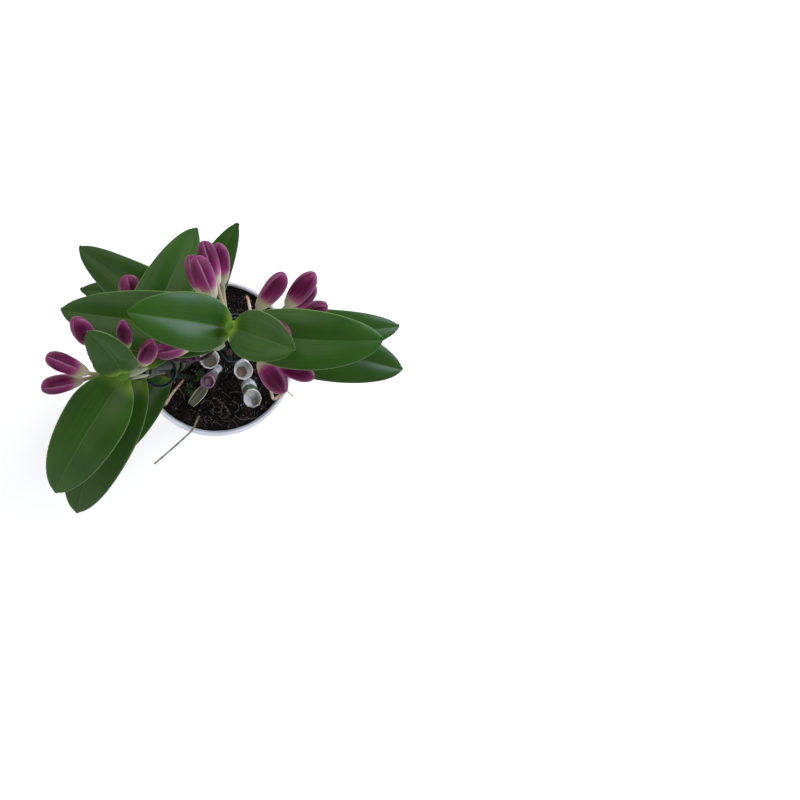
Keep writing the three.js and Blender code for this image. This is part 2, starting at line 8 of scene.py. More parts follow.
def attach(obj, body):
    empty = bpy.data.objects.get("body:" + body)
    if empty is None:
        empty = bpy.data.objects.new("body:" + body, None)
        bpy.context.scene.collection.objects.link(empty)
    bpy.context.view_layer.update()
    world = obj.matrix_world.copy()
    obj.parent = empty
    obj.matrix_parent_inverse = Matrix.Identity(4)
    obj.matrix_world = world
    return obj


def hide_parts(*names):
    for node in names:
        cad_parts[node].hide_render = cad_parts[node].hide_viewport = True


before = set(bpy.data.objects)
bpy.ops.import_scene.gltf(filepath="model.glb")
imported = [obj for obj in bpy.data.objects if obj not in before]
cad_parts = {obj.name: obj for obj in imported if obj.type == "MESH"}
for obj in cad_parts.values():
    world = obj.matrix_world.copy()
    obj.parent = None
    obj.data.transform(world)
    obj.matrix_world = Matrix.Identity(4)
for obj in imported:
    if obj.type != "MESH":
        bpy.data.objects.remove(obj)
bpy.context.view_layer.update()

# Camera
# It hangs 1.41 m above the ground, straight over the pot, and looks down at a place to the
# right of it, so the plant stands left of the middle of the picture, as in the photo.

CAMERA_PLACE = Vector((0, 0, 1.41))
CAMERA_TARGET = Vector((0.141, -0.0326, 0.11))
CAMERA_LENS = 76.18


def put(name, data):
    """A new object in the scene."""
    made = bpy.data.objects.new(name, data)
    bpy.context.scene.collection.objects.link(made)
    return made


forward = (CAMERA_TARGET - CAMERA_PLACE).normalized()
right = forward.cross(Vector((0, 1, 0))).normalized()
camera = put("camera", bpy.data.cameras.new("camera"))
camera.data.lens = CAMERA_LENS
camera.matrix_world = Matrix((right, right.cross(forward), -forward)).transposed().to_4x4()
camera.location = CAMERA_PLACE
bpy.context.scene.camera = camera

# Pot
# A thin-walled grower's pot, injection moulded in white polypropylene. Its wall tapers
# down from a rolled rim with a short skirt, and the flat base has six drain holes.

MM = 0.001
POT_HEIGHT = 110
POT_TOP_RADIUS = 60
POT_BASE_RADIUS = 43
POT_WALL = 1.3
POT_FLOOR = 1.8
RIM_WIDTH = 2.8
SKIRT_HEIGHT = 12
SKIRT_WALL = 1.1
DRAIN_HOLES = 6
DRAIN_RADIUS = 3.5
DRAIN_CIRCLE = 30
DRAIN_SIDES = 28
POT_SEGMENTS = 144
POT_EDGE_ANGLE = 32


def linear(code):
    """An sRGB hex colour as linear red, green, blue and alpha."""
    channels = [int(code[i:i + 2], 16) / 255 for i in (1, 3, 5)]
    return [c / 12.92 if c <= 0.04045 else ((c + 0.055) / 1.055) ** 2.4 for c in channels] + [1.0]


def plug(tree, value, socket):
    """Links a socket, or a node's first output, to a socket, or else sets the value there."""
    if isinstance(value, bpy.types.Node):
        value = value.outputs[0]
    if isinstance(value, bpy.types.NodeSocket):
        tree.links.new(value, socket)
    else:
        socket.default_value = linear(value) if str(value).startswith("#") else value


def add(tree, kind, *values, stops=None, **settings):
    """Adds a node: its type, less ShaderNode where that leads it, and perhaps an operation.
    Values go on its inputs in order, or by key in a dict. stops are a ramp's places and
    colours."""
    kind, _, operation = kind.partition(" ")
    made = tree.nodes.new(kind if "Node" in kind else "ShaderNode" + kind)
    if operation:
        made.operation = operation
    for setting, value in settings.items():
        setattr(made, setting, value)
    for place, value in enumerate(values):
        for key, entry in value.items() if isinstance(value, dict) else [(place, value)]:
            plug(tree, entry, made.inputs[key])
    if stops:
        ramp = made.color_ramp.elements
        for end in (0, -1):
            ramp[end].position, ramp[end].color = stops[end][0], linear(stops[end][1])
        for place, code in stops[1:-1]:
            ramp.new(place).color = linear(code)
    return made


def texture(name, *noises):
    """A new material, its tree and its noises. Each noise is its scale, detail, roughness
    and, where it is drawn out along the grain, the stretch."""
    made = bpy.data.materials.new(name)
    made.use_nodes = True
    tree = made.node_tree
    patterns = []
    for scale, detail, roughness, *stretch in noises:
        place = add(tree, "TexCoord").outputs["Object"]
        if stretch:
            grain = add(tree, "Attribute", attribute_name="grain").outputs["Vector"]
            place = add(tree, "Mapping", grain, {"Scale": stretch})
        patterns.append(add(tree, "TexNoise", place,
                            {"Scale": scale, "Detail": detail, "Roughness": roughness}))
    return made, tree, *patterns


def finish(made, color, height=None, bump=0.3, depth=0.2, **surface):
    """Completes a material. Uniform values go on the shader's own sockets, color is a hex
    value, a node or a socket, and height is what the bump reads, depth in millimetres."""
    tree = made.node_tree
    shader = tree.nodes["Principled BSDF"]
    for socket, value in {"Base_Color": color, **surface}.items():
        plug(tree, value, shader.inputs[socket.replace("_", " ")])
    if height:
        relief = add(tree, "Bump", {"Height": height, "Strength": bump, "Distance": depth * MM})
        plug(tree, relief, shader.inputs["Normal"])
    return made


def turns(sides):
    """The angles of a ring's points."""
    return 2 * np.pi * np.arange(sides) / sides


def circle(centre, radius, sides, z=None):
    """A level ring round a point. Its radius and height may also be given point by point."""
    angles = turns(sides)
    height = np.full(sides, centre[2] if z is None else z)
    return np.stack([centre[0] + radius * np.cos(angles), centre[1] + radius * np.sin(angles), height], 1)


def shell(rings, grain=None, closed=True):
    """Skins rings of points into a closed shell. Each ring runs counter-clockwise about the
    way that the rings follow. Each end is closed with a fan, or else the last ring is
    joined to the first."""
    rings = np.asarray(rings, float)
    count, sides = rings.shape[:2]
    points = list(rings.reshape(-1, 3))
    grain = [(0, 0, 0)] * len(points) if grain is None else list(np.asarray(grain, float).reshape(-1, 3))
    faces = []
    for j in range(count - 1 if closed else count):
        for i in range(sides):
            a, b = j * sides + i, j * sides + (i + 1) % sides
            above = ((j + 1) % count - j) * sides
            faces.append((a, b, b + above, a + above))
    for first in (0, (count - 1) * sides) if closed else ():
        hub = len(points)
        points.append(np.mean(points[first:first + sides], axis=0))
        grain.append(np.mean(grain[first:first + sides], axis=0))
        for i in range(sides):
            a, b = first + i, first + (i + 1) % sides
            faces.append((hub, b, a) if first == 0 else (hub, a, b))
    return points, faces, grain


def mesh_of(name, shells):
    """One mesh in metres from shells in millimetres."""
    points, faces, grain = [], [], []
    for shell_points, shell_faces, shell_grain in shells:
        first = len(points)
        points += [tuple(p) for p in np.asarray(shell_points) * MM]
        faces += [tuple(first + corner for corner in face) for face in shell_faces]
        grain += [tuple(g) for g in shell_grain]
    mesh = bpy.data.meshes.new(name)
    mesh.from_pydata(points, [], faces)
    mesh.attributes.new("grain", "FLOAT_VECTOR", "POINT").data.foreach_set("vector", np.ravel(grain))
    mesh.polygons.foreach_set("use_smooth", [True] * len(faces))
    mesh.update()
    return mesh


def evaluated(source, name):
    """The plain mesh that an object's modifiers make."""
    depsgraph = bpy.context.evaluated_depsgraph_get()
    mesh = bpy.data.meshes.new_from_object(source.evaluated_get(depsgraph), depsgraph=depsgraph)
    mesh.name = name
    return mesh


def piece(mesh, material, slot, *nodes):
    """Puts a finished mesh on the plant and hides the solids it stands for."""
    made = put(mesh.name, mesh)
    if material:
        mesh.materials.clear()
        mesh.materials.append(material)
    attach(made, "root")
    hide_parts(*nodes)
    return made


def wall_radius(z):
    """The outside of the pot's wall at a height."""
    return POT_BASE_RADIUS + (POT_TOP_RADIUS - RIM_WIDTH + POT_WALL - POT_BASE_RADIUS) / POT_HEIGHT * z


def pot_profile():
    """Radius and height, from the middle of the underside over the rim to the floor."""
    skirt = POT_HEIGHT - SKIRT_HEIGHT
    inside = POT_TOP_RADIUS - SKIRT_WALL
    mouth = POT_TOP_RADIUS - RIM_WIDTH
    return [
        (1, 0.6), (DRAIN_CIRCLE + 7, 0.6), (DRAIN_CIRCLE + 8, 0), (POT_BASE_RADIUS - 1.5, 0),
        (POT_BASE_RADIUS - 0.6, 0.3), (wall_radius(1.2), 1.2), (wall_radius(12), 12),
        (wall_radius(12.6) + 0.35, 12.6), (wall_radius(107.2), 107.2), (wall_radius(107.8) + 0.2, 107.8),
        (inside - 0.25, 107.8), (inside, 107), (inside, skirt + 0.2), (inside + 0.3, skirt),
        (POT_TOP_RADIUS - 0.7, skirt), (POT_TOP_RADIUS - 0.4, skirt + 0.4),
        (POT_TOP_RADIUS, POT_HEIGHT - 1.6), (POT_TOP_RADIUS - 0.3, POT_HEIGHT - 0.6),
        (POT_TOP_RADIUS - 0.9, POT_HEIGHT), (mouth + 0.8, POT_HEIGHT), (mouth + 0.2, POT_HEIGHT - 0.25),
        (mouth, POT_HEIGHT - 0.8), (wall_radius(60) - POT_WALL, 60),
        (wall_radius(POT_FLOOR) - POT_WALL - 1, POT_FLOOR), (1, POT_FLOOR),
    ]


drills = []
for i in range(DRAIN_HOLES):
    angle = 2 * math.pi * (i + 0.5) / DRAIN_HOLES
    centre = (DRAIN_CIRCLE * math.cos(angle), DRAIN_CIRCLE * math.sin(angle), 0)
    drills.append(shell([circle(centre, DRAIN_RADIUS, DRAIN_SIDES, z) for z in (-2, 5)]))
drill = put("drill", mesh_of("drill", drills))
blank = put("blank", mesh_of("pot_body", [
    shell([circle((0, 0, z), radius, POT_SEGMENTS) for radius, z in pot_profile()])]))
cut = blank.modifiers.new("drain holes", "BOOLEAN")
cut.object = drill
cut.operation = "DIFFERENCE"
drilled = evaluated(blank, "pot_drilled")
for tool in (drill, blank):
    bpy.data.objects.remove(tool)
drilled.set_sharp_from_angle(angle=math.radians(POT_EDGE_ANGLE))

# Moulded polypropylene: white with a faint cool cast, satin, with a slight ripple from
# the mould that only shows in its highlights, and a little grey dust.
moulded, tree, ripple, dust = texture("moulded_polypropylene", (90, 3, 0.5), (28, 6, 0.7))
white = add(tree, "ValToRGB", dust, stops=[(0.35, "#e6e7ea"), (0.62, "#dddee1"), (0.8, "#cbccd0")])
finish(moulded, white, ripple, 0.12, 0.3, Roughness=0.36, IOR=1.49, Subsurface_Weight=0.08,
       Subsurface_Scale=0.004)
piece(drilled, moulded, "pot_plastic", "pot")

# Potting mix
# Fine composted bark and peat, nearly black when damp, filled to just under the rim. Bark
# chips, coir and peat fibres and a few pale grains lie on it.

MIX_LEVEL = 103
MIX_FOOT = 2.1
MIX_BRIM = 3
MIX_RELIEF = 1.5
MIX_GAP = 0.3
MIX_SIDES = 180
MIX_RINGS = 70
GROUND_RINGS = 40


def mix_height(x, y):
    """The height of the mix at a place: low mounds, then crumbs."""
    mounds = math.sin(0.31 * x + 1) * math.cos(0.27 * y) + 0.6 * math.sin(0.55 * x - 0.47 * y + 2)
    crumbs = noise.noise((0.45 * x, 0.45 * y, 3)) + 0.6 * noise.noise((1.1 * x, 1.1 * y, 7))
    return MIX_LEVEL + 0.6 * MIX_RELIEF * mounds + 0.9 * crumbs


def mix_radius(z):
    """The outside of the mix at a height."""
    return wall_radius(z) - POT_WALL - MIX_GAP


def mix_ring(radius):
    """A ring on top of the mix."""
    ring = circle((0, 0, 0), radius, MIX_SIDES)
    ring[:, 2] = [mix_height(x, y) for x, y, _ in ring]
    return ring


rings = [circle((0, 0, MIX_FOOT), radius, MIX_SIDES) for radius in (1, 20, mix_radius(MIX_FOOT) - 1)]
rings.append(circle((0, 0, MIX_LEVEL - MIX_BRIM), mix_radius(MIX_LEVEL - MIX_BRIM), MIX_SIDES))
rings += [mix_ring(mix_radius(MIX_LEVEL) * (1 - k / MIX_RINGS)) for k in range(MIX_RINGS)]

# Damp peat and bark: very dark brown, matt, in crumbs of 1 to 4 mm with redder bits.
damp, tree, crumb, clod = texture("damp_bark_mix", (420, 8, 0.75), (120, 4, 0.5))
earth = add(tree, "ValToRGB", add(tree, "Math MULTIPLY", crumb, clod),
            stops=[(0.14, "#050404"), (0.25, "#100d0c"), (0.34, "#1e1714"), (0.46, "#35251c")])
finish(damp, earth, crumb, 0.9, 1.2, Roughness=0.92, Specular_IOR_Level=0.12)
piece(mesh_of("bark_mix_bed", [shell(rings)]), damp, "bark_mix", "potting_mix")


def start_tree(name, **inputs):
    """A Geometry Nodes tree and its named inputs, each a kind of socket and a default, with
    the material of what it makes last."""
    tree = bpy.data.node_groups.new(name, "GeometryNodeTree")
    for key, (kind, *default) in {**inputs, "Finish": ["Material"]}.items():
        made = tree.interface.new_socket(key, in_out="INPUT", socket_type="NodeSocket" + kind)
        if default:
            made.default_value = default[0]
    tree.interface.new_socket("Geometry", in_out="OUTPUT", socket_type="NodeSocketGeometry")
    return tree, add(tree, "NodeGroupInput").outputs


def end_tree(tree, given, geometry):
    """Ends a tree: what it made becomes plain geometry in its own material."""
    plain = add(tree, "GeometryNodeRealizeInstances", geometry)
    add(tree, "NodeGroupOutput", add(tree, "GeometryNodeSetMaterial", plain, {"Material": given["Finish"]}))


def grow(source, tree, name, **inputs):
    """Runs a Geometry Nodes tree on an object and returns the plain mesh that it makes."""
    modifier = source.modifiers.new("growth", "NODES")
    modifier.node_group = tree
    for key, value in inputs.items():
        modifier[tree.interface.items_tree[key].identifier] = value
    mesh = evaluated(source, name)
    source.modifiers.remove(modifier)
    return mesh


# Scatter: lays copies of a small piece at random over a surface.
scatter, given = start_tree(
    "scatter", Ground=["Geometry"], Bit=["Object"], Density=["Float", 1000], Smallest=["Float", 0.5],
    Largest=["Float", 1.5], Tilt=["Float", 0.5], Seed=["Int", 1])
spots = add(scatter, "GeometryNodeDistributePointsOnFaces",
            {"Mesh": given["Ground"], "Density": given["Density"], "Seed": given["Seed"]})
bit = add(scatter, "GeometryNodeObjectInfo", {"Object": given["Bit"]})
back = add(scatter, "Math MULTIPLY", given["Tilt"], -1)
low = add(scatter, "CombineXYZ", back, back, 0)
high = add(scatter, "CombineXYZ", given["Tilt"], given["Tilt"], 2 * math.pi)
turn = add(scatter, "FunctionNodeRandomValue", low, high, {"Seed": given["Seed"]}, data_type="FLOAT_VECTOR")
size = add(scatter, "FunctionNodeRandomValue",
           {2: given["Smallest"], 3: given["Largest"], "Seed": given["Seed"]}, data_type="FLOAT")
laid = add(scatter, "GeometryNodeInstanceOnPoints",
           {"Points": spots, "Instance": bit.outputs["Geometry"],
            "Rotation": add(scatter, "FunctionNodeEulerToRotation", turn), "Scale": size.outputs[1]})
end_tree(scatter, given, laid)

HELPERS = []


def loose(name, shells):
    """An object that only a tree uses, and that goes once the plant is complete."""
    HELPERS.append(put(name, mesh_of(name, shells)))
    return HELPERS[-1]


# Ground for the scatters: the top of the mix, a little inside the pot's wall.
ground = loose("ground", [shell([
    mix_ring(radius) for radius in np.linspace(mix_radius(MIX_LEVEL) - 2, 0.5, GROUND_RINGS)])])


def strew(name, bit, density, sizes, tilt, seed, material, over=ground, slot="bark_mix"):
    """A piece of the mix: copies of one small shell, laid at random."""
    mesh = grow(over, scatter, name, Bit=loose(name + "_bit", [bit]), Density=density, Smallest=sizes[0],
                Largest=sizes[1], Tilt=tilt, Seed=seed, Finish=material)
    piece(mesh, None, slot, "potting_mix")


def motley(name, stops, bump=0.0, **surface):
    """A material that gives each bit one colour of a ramp, and a fine relief where it has bump."""
    made, tree, fleck = texture(name, (900, 3, 0.5))
    island = add(tree, "NewGeometry").outputs["Random Per Island"]
    color = add(tree, "ValToRGB", island, stops=stops)
    return finish(made, color, fleck if bump else None, bump, 0.4, **surface)


def bark_chip():
    """A split flake of bark, 3 mm long, with an uneven outline."""
    rings = []
    for z, share in ((-0.45, 0.7), (-0.3, 1), (0.3, 0.95), (0.45, 0.6)):
        ring = circle((0, 0, z), 1, 8)
        ring[:, 0] *= 1.7 * share * np.array([1, 0.8, 1, 0.85, 1.1, 0.9, 0.7, 1])
        ring[:, 1] *= 0.85 * share * np.array([1, 1.1, 0.8, 1, 1, 0.75, 1.15, 0.9])
        rings.append(ring)
    return shell(rings)


def fibre(turn, length, radius, steps=9):
    """A thin three-sided fibre that curls through an angle."""
    rings = []
    for k in range(steps):
        angle = turn * (k / (steps - 1) - 0.5)
        bend = length / turn
        rise = 0.5 + 0.35 * math.cos(3 * angle)
        centre = np.array([bend * math.sin(angle), bend * (math.cos(angle) - 1), rise])
        across = np.array([-math.sin(angle), -math.cos(angle), 0])
        rings.append([centre + radius * (math.cos(a) * across - math.sin(a) * np.array([0, 0, 1]))
                      for a in (0, 2.1, 4.2)])
    return shell(rings)


# Bark chips: each its own brown, from nearly black to fox red, with a fibrous surface.
bark = motley("bark_chip", [(0, "#090706"), (0.55, "#17110f"), (0.84, "#2b1c16"), (0.95, "#472b1e"),
                            (1, "#6b4734")], 0.7, Roughness=0.85, Specular_IOR_Level=0.2)
strew("bark_chips", bark_chip(), 140000.0, (0.3, 1.0), 0.6, 4, bark)

# Coir and peat fibres: thin, dry, brown to straw coloured.
coir = motley("coir_fibre", [(0, "#15100e"), (0.5, "#3a2f28"), (0.8, "#6d6156"), (1, "#a0968a")],
              Roughness=0.8)
strew("fibres_straight", fibre(0.6, 9, 0.12), 26000.0, (0.4, 1.0), 0.35, 11, coir)
strew("fibres_curved", fibre(2.2, 11, 0.11), 22000.0, (0.4, 1.0), 0.35, 23, coir)
strew("fibres_curled", fibre(4.6, 10, 0.13), 5000.0, (0.4, 1.0), 0.35, 37, coir)

# Pale grains of sand and perlite, half a millimetre to a millimetre across.
perlite = finish(texture("perlite_grain")[0], "#b7aea2", Roughness=0.7)
pebble = shell([circle((0, 0, z), radius, 6) for z, radius in ((-0.4, 0.25), (0, 0.5), (0.4, 0.22))])
strew("pale_grains", pebble, 9000.0, (0.5, 1.3), 1.5, 51, perlite)

# Moss
# Three small tufts of living moss grow near the old canes, round the foot of a stake. They
# are dense cushions of bright green leaflets.

MOSS_TUFTS = [(-12.3, -12.6, 3.6), (-19.3, -23.6, 3.8), (-15.5, -17, 2.2)]
tufts = loose("tufts", [shell([circle((x, y, mix_height(x, y) + rise), radius * share, 16)
                               for rise, share in ((-1, 1), (0.9, 0.7), (1.6, 0.2))])
                        for x, y, radius in MOSS_TUFTS])
leaflet = shell([circle((0.25 * z, 0, z), radius, 5)
                 for z, radius in ((-0.2, 0.2), (0.5, 0.42), (1.2, 0.34), (1.9, 0.05))])
living_moss = motley("living_moss", [(0, "#14220c"), (0.6, "#294718"), (1, "#5d8a34")], Roughness=0.6)
strew("moss_tufts", leaflet, 1300000.0, (0.6, 1.4), 1.0, 61, living_moss, tufts, "leaf_blade")

# Canes
# Two living canes (pseudobulbs), a and b, rise jointed from the mix and lean a little. The
# skin is fleshy, slate green with purple-brown streaks, and furrowed lengthwise.

CANES = {
    "a": {"path": [[8, 18, 84], [13, 20, 200], [11, 17, 320], [9, 17.5, 432]],
          "radii": [[84, 5.2], [140, 6.2], [200, 6.6], [300, 5], [380, 3.8], [432, 2.4]],
          "bare_top": 222, "top": 423},
    "b": {"path": [[-22, 0, 84], [-29, -4, 200], [-39, -7, 305], [-56, -9.8, 396]],
          "radii": [[84, 5], [140, 6], [200, 6.2], [300, 4.6], [350, 3.7], [396, 2.4]],
          "bare_top": 208, "top": 391},
}
CANE_FOOT = 86
CANE_STEP = 1.6
CANE_SIDES = 48
JOINT_LENGTH = 26
JOINT_SWELL = 0.07
JOINT_PINCH = 0.05
PINCH_LENGTH = 0.05
FURROWS = 11
FURROW_DEPTH = 0.035


def between(knots, i, t):
    """The place at a share of the way from knot i to the next, on a smooth curve."""
    last = len(knots) - 1
    p0, p1, p2, p3 = (np.array(knots[k], float) for k in (max(i - 1, 0), i, i + 1, min(i + 2, last)))
    return 0.5 * (2 * p1 + (p2 - p0) * t + (2 * p0 - 5 * p1 + 4 * p2 - p3) * t * t
                  + (3 * p1 - p0 - 3 * p2 + p3) * t ** 3)


def cane_point(name, z):
    """The cane's axis at a height: a smooth curve through the path's points."""
    path = CANES[name]["path"]
    height = min(max(z, path[0][2]), path[-1][2])
    i = sum(height > knot[2] for knot in path[1:-1])
    point = between(path, i, (height - path[i][2]) / (path[i + 1][2] - path[i][2]))
    return np.array([point[0], point[1], z])


def cane_radius(name, z):
    """How thick the cane is at a height, as a radius."""
    return float(np.interp(z, *zip(*CANES[name]["radii"])))


def round_grain(sides, along):
    """Pattern coordinates of a ring: they join up all the way round."""
    return circle((0, 0), 1, sides, along)


def cane_body(name):
    """The core of a cane: swollen between its joints, furrowed, with a rounded tip."""
    top = CANES[name]["top"]
    rings, grain = [], []
    for z in np.arange(CANE_FOOT, top + 0.1, CANE_STEP):
        joint = ((z - MIX_LEVEL) / JOINT_LENGTH) % 1
        pinch = math.exp(-(min(joint, 1 - joint) / PINCH_LENGTH) ** 2)
        swell = 0.9 + JOINT_SWELL * math.sin(math.pi * joint) - JOINT_PINCH * pinch
        tip = math.sqrt(max(0.02, 1 - max(0, (z - top + 4) / 4.2) ** 2))
        furrow = 1 - FURROW_DEPTH * np.abs(np.sin(FURROWS * turns(CANE_SIDES) / 2 + 0.006 * z))
        rings.append(circle(cane_point(name, z), cane_radius(name, z) * swell * tip * furrow, CANE_SIDES))
        grain.append(round_grain(CANE_SIDES, z / 10))
    return shell(rings, grain)


def blotched(name, pattern, stops, bump, depth, **surface):
    """A material of one noise, which makes its relief and, through a ramp, its colour."""
    made, tree, blotch = texture(name, pattern)
    return finish(made, add(tree, "ValToRGB", blotch, stops=stops), blotch, bump, depth, **surface)


# Cane skin: waxy, dark slate green with purple-brown streaks that run lengthwise.
cane_skin = blotched("waxy_cane_skin", (1.6, 5, 0.65, 3.2, 3.2, 0.35),
                     [(0.3, "#20281e"), (0.48, "#2d3528"), (0.6, "#3b4138"), (0.72, "#302a2e")], 0.4, 0.3,
                     Roughness=0.5, Specular_IOR_Level=0.12, Subsurface_Weight=0.05, Subsurface_Scale=0.003)
for name in CANES:
    piece(mesh_of("cane_core_" + name, [cane_body(name)]), cane_skin, "cane_skin", "cane_" + name)

# Old sheaths
# Each bare joint keeps its old leaf sheath: dry, paper-thin, weathered to a dark grey-brown
# and wrapped round the joint, its upper edge flared and torn.

OLD_SHEATH_SIDES = 44
OLD_SHEATH_WALL = 0.05


def walled(rows):
    """A thin-walled tube from rows of an outer ring, an inner ring and their grain."""
    outer, inner, grain = (list(column) for column in zip(*rows))
    return shell(outer + inner[::-1], grain + grain[::-1], closed=False)


def sheath_shell():
    """A sheath of unit radius and unit height, wide at its torn upper edge."""
    angles = turns(OLD_SHEATH_SIDES)
    torn = 0.06 * np.sin(2 * angles + 0.6) + 0.03 * np.sin(7 * angles) + 0.015 * np.sin(13 * angles + 2)
    rows = []
    for share in (0, 0.04, 0.3, 0.6, 0.85, 1):
        flare = 1.0 + 0.11 * share + 0.012 * np.sin(5 * angles) * share
        outer, inner = (circle((0, 0), radius, OLD_SHEATH_SIDES, share * (0.86 + torn))
                        for radius in (flare, flare - OLD_SHEATH_WALL))
        rows.append((outer, inner, round_grain(OLD_SHEATH_SIDES, 2.6 * share)))
    return walled(rows)


# Joints: sets one sheath on each point of a cane's axis, scaled to the cane there.
joints, given = start_tree(
    "joints", Axis=["Geometry"], Sheath=["Object"], Length=["Float", 0.026], Seed=["Int", 1])
spots = add(joints, "GeometryNodeCurveToPoints", {"Curve": given["Axis"]}, mode="EVALUATED")
wide = add(joints, "GeometryNodeInputRadius")
size = add(joints, "CombineXYZ", wide, wide, given["Length"])
part = add(joints, "GeometryNodeObjectInfo", {"Object": given["Sheath"]})
spin = add(joints, "FunctionNodeRandomValue", {2: 0.0, 3: 2 * math.pi, "Seed": given["Seed"]},
           data_type="FLOAT")
around = add(joints, "FunctionNodeAxisAngleToRotation", (0, 0, 1), spin.outputs[1])
upright = add(joints, "FunctionNodeRotateRotation", spots.outputs["Rotation"], around,
              rotation_space="LOCAL")
laid = add(joints, "GeometryNodeInstanceOnPoints",
           {"Points": spots, "Instance": part.outputs["Geometry"], "Rotation": upright, "Scale": size})
end_tree(joints, given, laid)


def grow_along(points, radii, tree, name, **inputs):
    """Runs a tree on a curve through points in millimetres, with its radius at each."""
    curve = bpy.data.curves.new("guide", "CURVE")
    curve.dimensions = "3D"
    spline = curve.splines.new("POLY")
    spline.points.add(len(points) - 1)
    for knot, point, radius in zip(spline.points, points, radii):
        knot.co = (*(float(c) * MM for c in point), 1)
        knot.radius = float(radius) * MM
    guide = put("guide", curve)
    mesh = grow(guide, tree, name, **inputs)
    bpy.data.objects.remove(guide)
    return mesh


# Dry sheath: dark grey-brown with fine paler fibres lengthwise, matt, darker in places.
dry_paper, tree, fibres, stain_or_shade = texture("dry_papery_sheath", (2.4, 5, 0.7, 9, 9, 0.5), (60, 4, 0.5))
paper = add(tree, "ValToRGB", add(tree, "Math MULTIPLY", fibres, stain_or_shade),
            stops=[(0.12, "#262624"), (0.22, "#3d3e3b"), (0.3, "#55544d"), (0.42, "#7d796d")])
finish(dry_paper, paper, fibres, 0.6, 0.35, Roughness=0.8, Specular_IOR_Level=0.2)
sheath_unit = loose("sheath_unit", [sheath_shell()])
sheath_unit.data.transform(Matrix.Scale(1 / MM, 4))
for name, cane in CANES.items():
    levels = np.arange(MIX_LEVEL + 1.0, cane["bare_top"] - JOINT_LENGTH + 8, JOINT_LENGTH)
    old = grow_along([cane_point(name, z) for z in levels], [cane_radius(name, z + 13) for z in levels],
                     joints, "dry_sheaths_" + name, Sheath=sheath_unit, Length=JOINT_LENGTH * MM, Seed=5,
                     Finish=dry_paper)
    piece(old, None, "papery_sheath", "cane_" + name)

# Leaf sheaths
# Below its blade every leaf wraps the cane in a thin tube, pale green with whitish fibres,
# which ends in a yellow-green collar where the blade joins it.

LEAVES = [
    # name led by its cane, z, sheath, head, sway, length, width, lift, droop, roll, widest
    ["a1", 426, 9, -21, 1.7, 44, 29, 50, 28, 0, 0.38],
    ["a2", 412, 12, 171, 2, 64, 34, 38, 24, 0, 0.37],
    ["a3", 384, 20, -12.5, 17, 90, 36.5, 28, 40, 0, 0.44],
    ["a4", 356, 22, 175.5, -4.5, 104, 40, 15, 36, 0, 0.32],
    ["a5", 328, 22, -4, 11.5, 104, 31, 24, 44, 0, 0.38],
    ["a6", 300, 22, 162, -21.5, 111, 36.5, 20, 40, -14, 0.32],
    ["a7", 272, 22, -12, -2.5, 113, 41, 24, 44, 0, 0.43],
    ["a8", 244, 20, 156.5, 18.5, 105, 28, 18, 40, 0, 0.32],
    ["b1", 394, 7, 107, 40, 38, 28, 50, 24, -35, 0.28],
    ["b2", 381, 19, -125, 7, 90, 38.5, 6, 48, 4, 0.35],
    ["b3", 352, 8.5, 74.5, -13, 94, 37.5, 0, 10, 0, 0.24],
    ["b4", 340, 17, -123.5, 16, 104.5, 39.5, 4, 42, 4, 0.4],
    ["b5", 222, 17, -126.5, -8.5, 89, 32, 8, 36, 0, 0.56],
    ["b6", 256, 20, 64, -1.5, 107, 29, 32, 28, 18, 0.38],
]
SHEATH_GAP = 0.3
SHEATH_WALL = 0.9
SHEATH_RIBS = 16
SHEATH_RIB = 0.09
COLLAR = 0.35
GROWING_TIP = ((0.3, 0.85), (0.6, 0.55), (0.8, 0.25))


def leaf_sheath(cane, low, high, capped):
    """A tube round the cane that swells to a collar under the blade. The top leaf's is
    capped by the folded growing tip."""
    rows = []
    for share in (0, 0.03, 0.2, 0.5, 0.8, 0.92, 0.98, 1):
        z = low + (high - low) * share
        inner = cane_radius(cane, z) + SHEATH_GAP
        collar = COLLAR * math.exp(-((share - 0.97) / 0.05) ** 2) + 0.2 * share - 0.5 * (share == 0)
        outer = inner + SHEATH_WALL + collar + SHEATH_RIB * np.sin(SHEATH_RIBS * turns(CANE_SIDES))
        rows.append([circle(cane_point(cane, z), radius, CANE_SIDES) for radius in (outer, inner)]
                    + [round_grain(CANE_SIDES, share)])
    if not capped:
        return walled(rows)
    collar = rows[-1][0]
    centre = collar.mean(axis=0)
    rings = [row[0] for row in rows] + [centre + (collar - centre) * share + np.array([0, 0, rise])
                                        for rise, share in GROWING_TIP]
    return shell(rings, [row[2] for row in rows] + [rows[-1][2]] * len(GROWING_TIP))


def parts_of(tree):
    """The three pattern coordinates that a mesh carries as its grain."""
    return add(tree, "SeparateXYZ", add(tree, "Attribute", attribute_name="grain").outputs["Vector"]).outputs


def painted(tree, color, *layers, within=None):
    """A colour under layers of others. Each layer is what it follows, the values of that at
    which it starts and is full, how much it then covers, its colour, and how it blends in."""
    for source, start, full, cover, code, *blend in layers:
        mask = add(tree, "MapRange", source, start, full, 0, cover,
                   interpolation_type=blend[0] if blend else "LINEAR")
        if within:
            mask = add(tree, "Math MULTIPLY", mask, within)
        color = add(tree, "Mix", {0: mask, 6: color, 7: code}, data_type="RGBA").outputs[2]
    return color
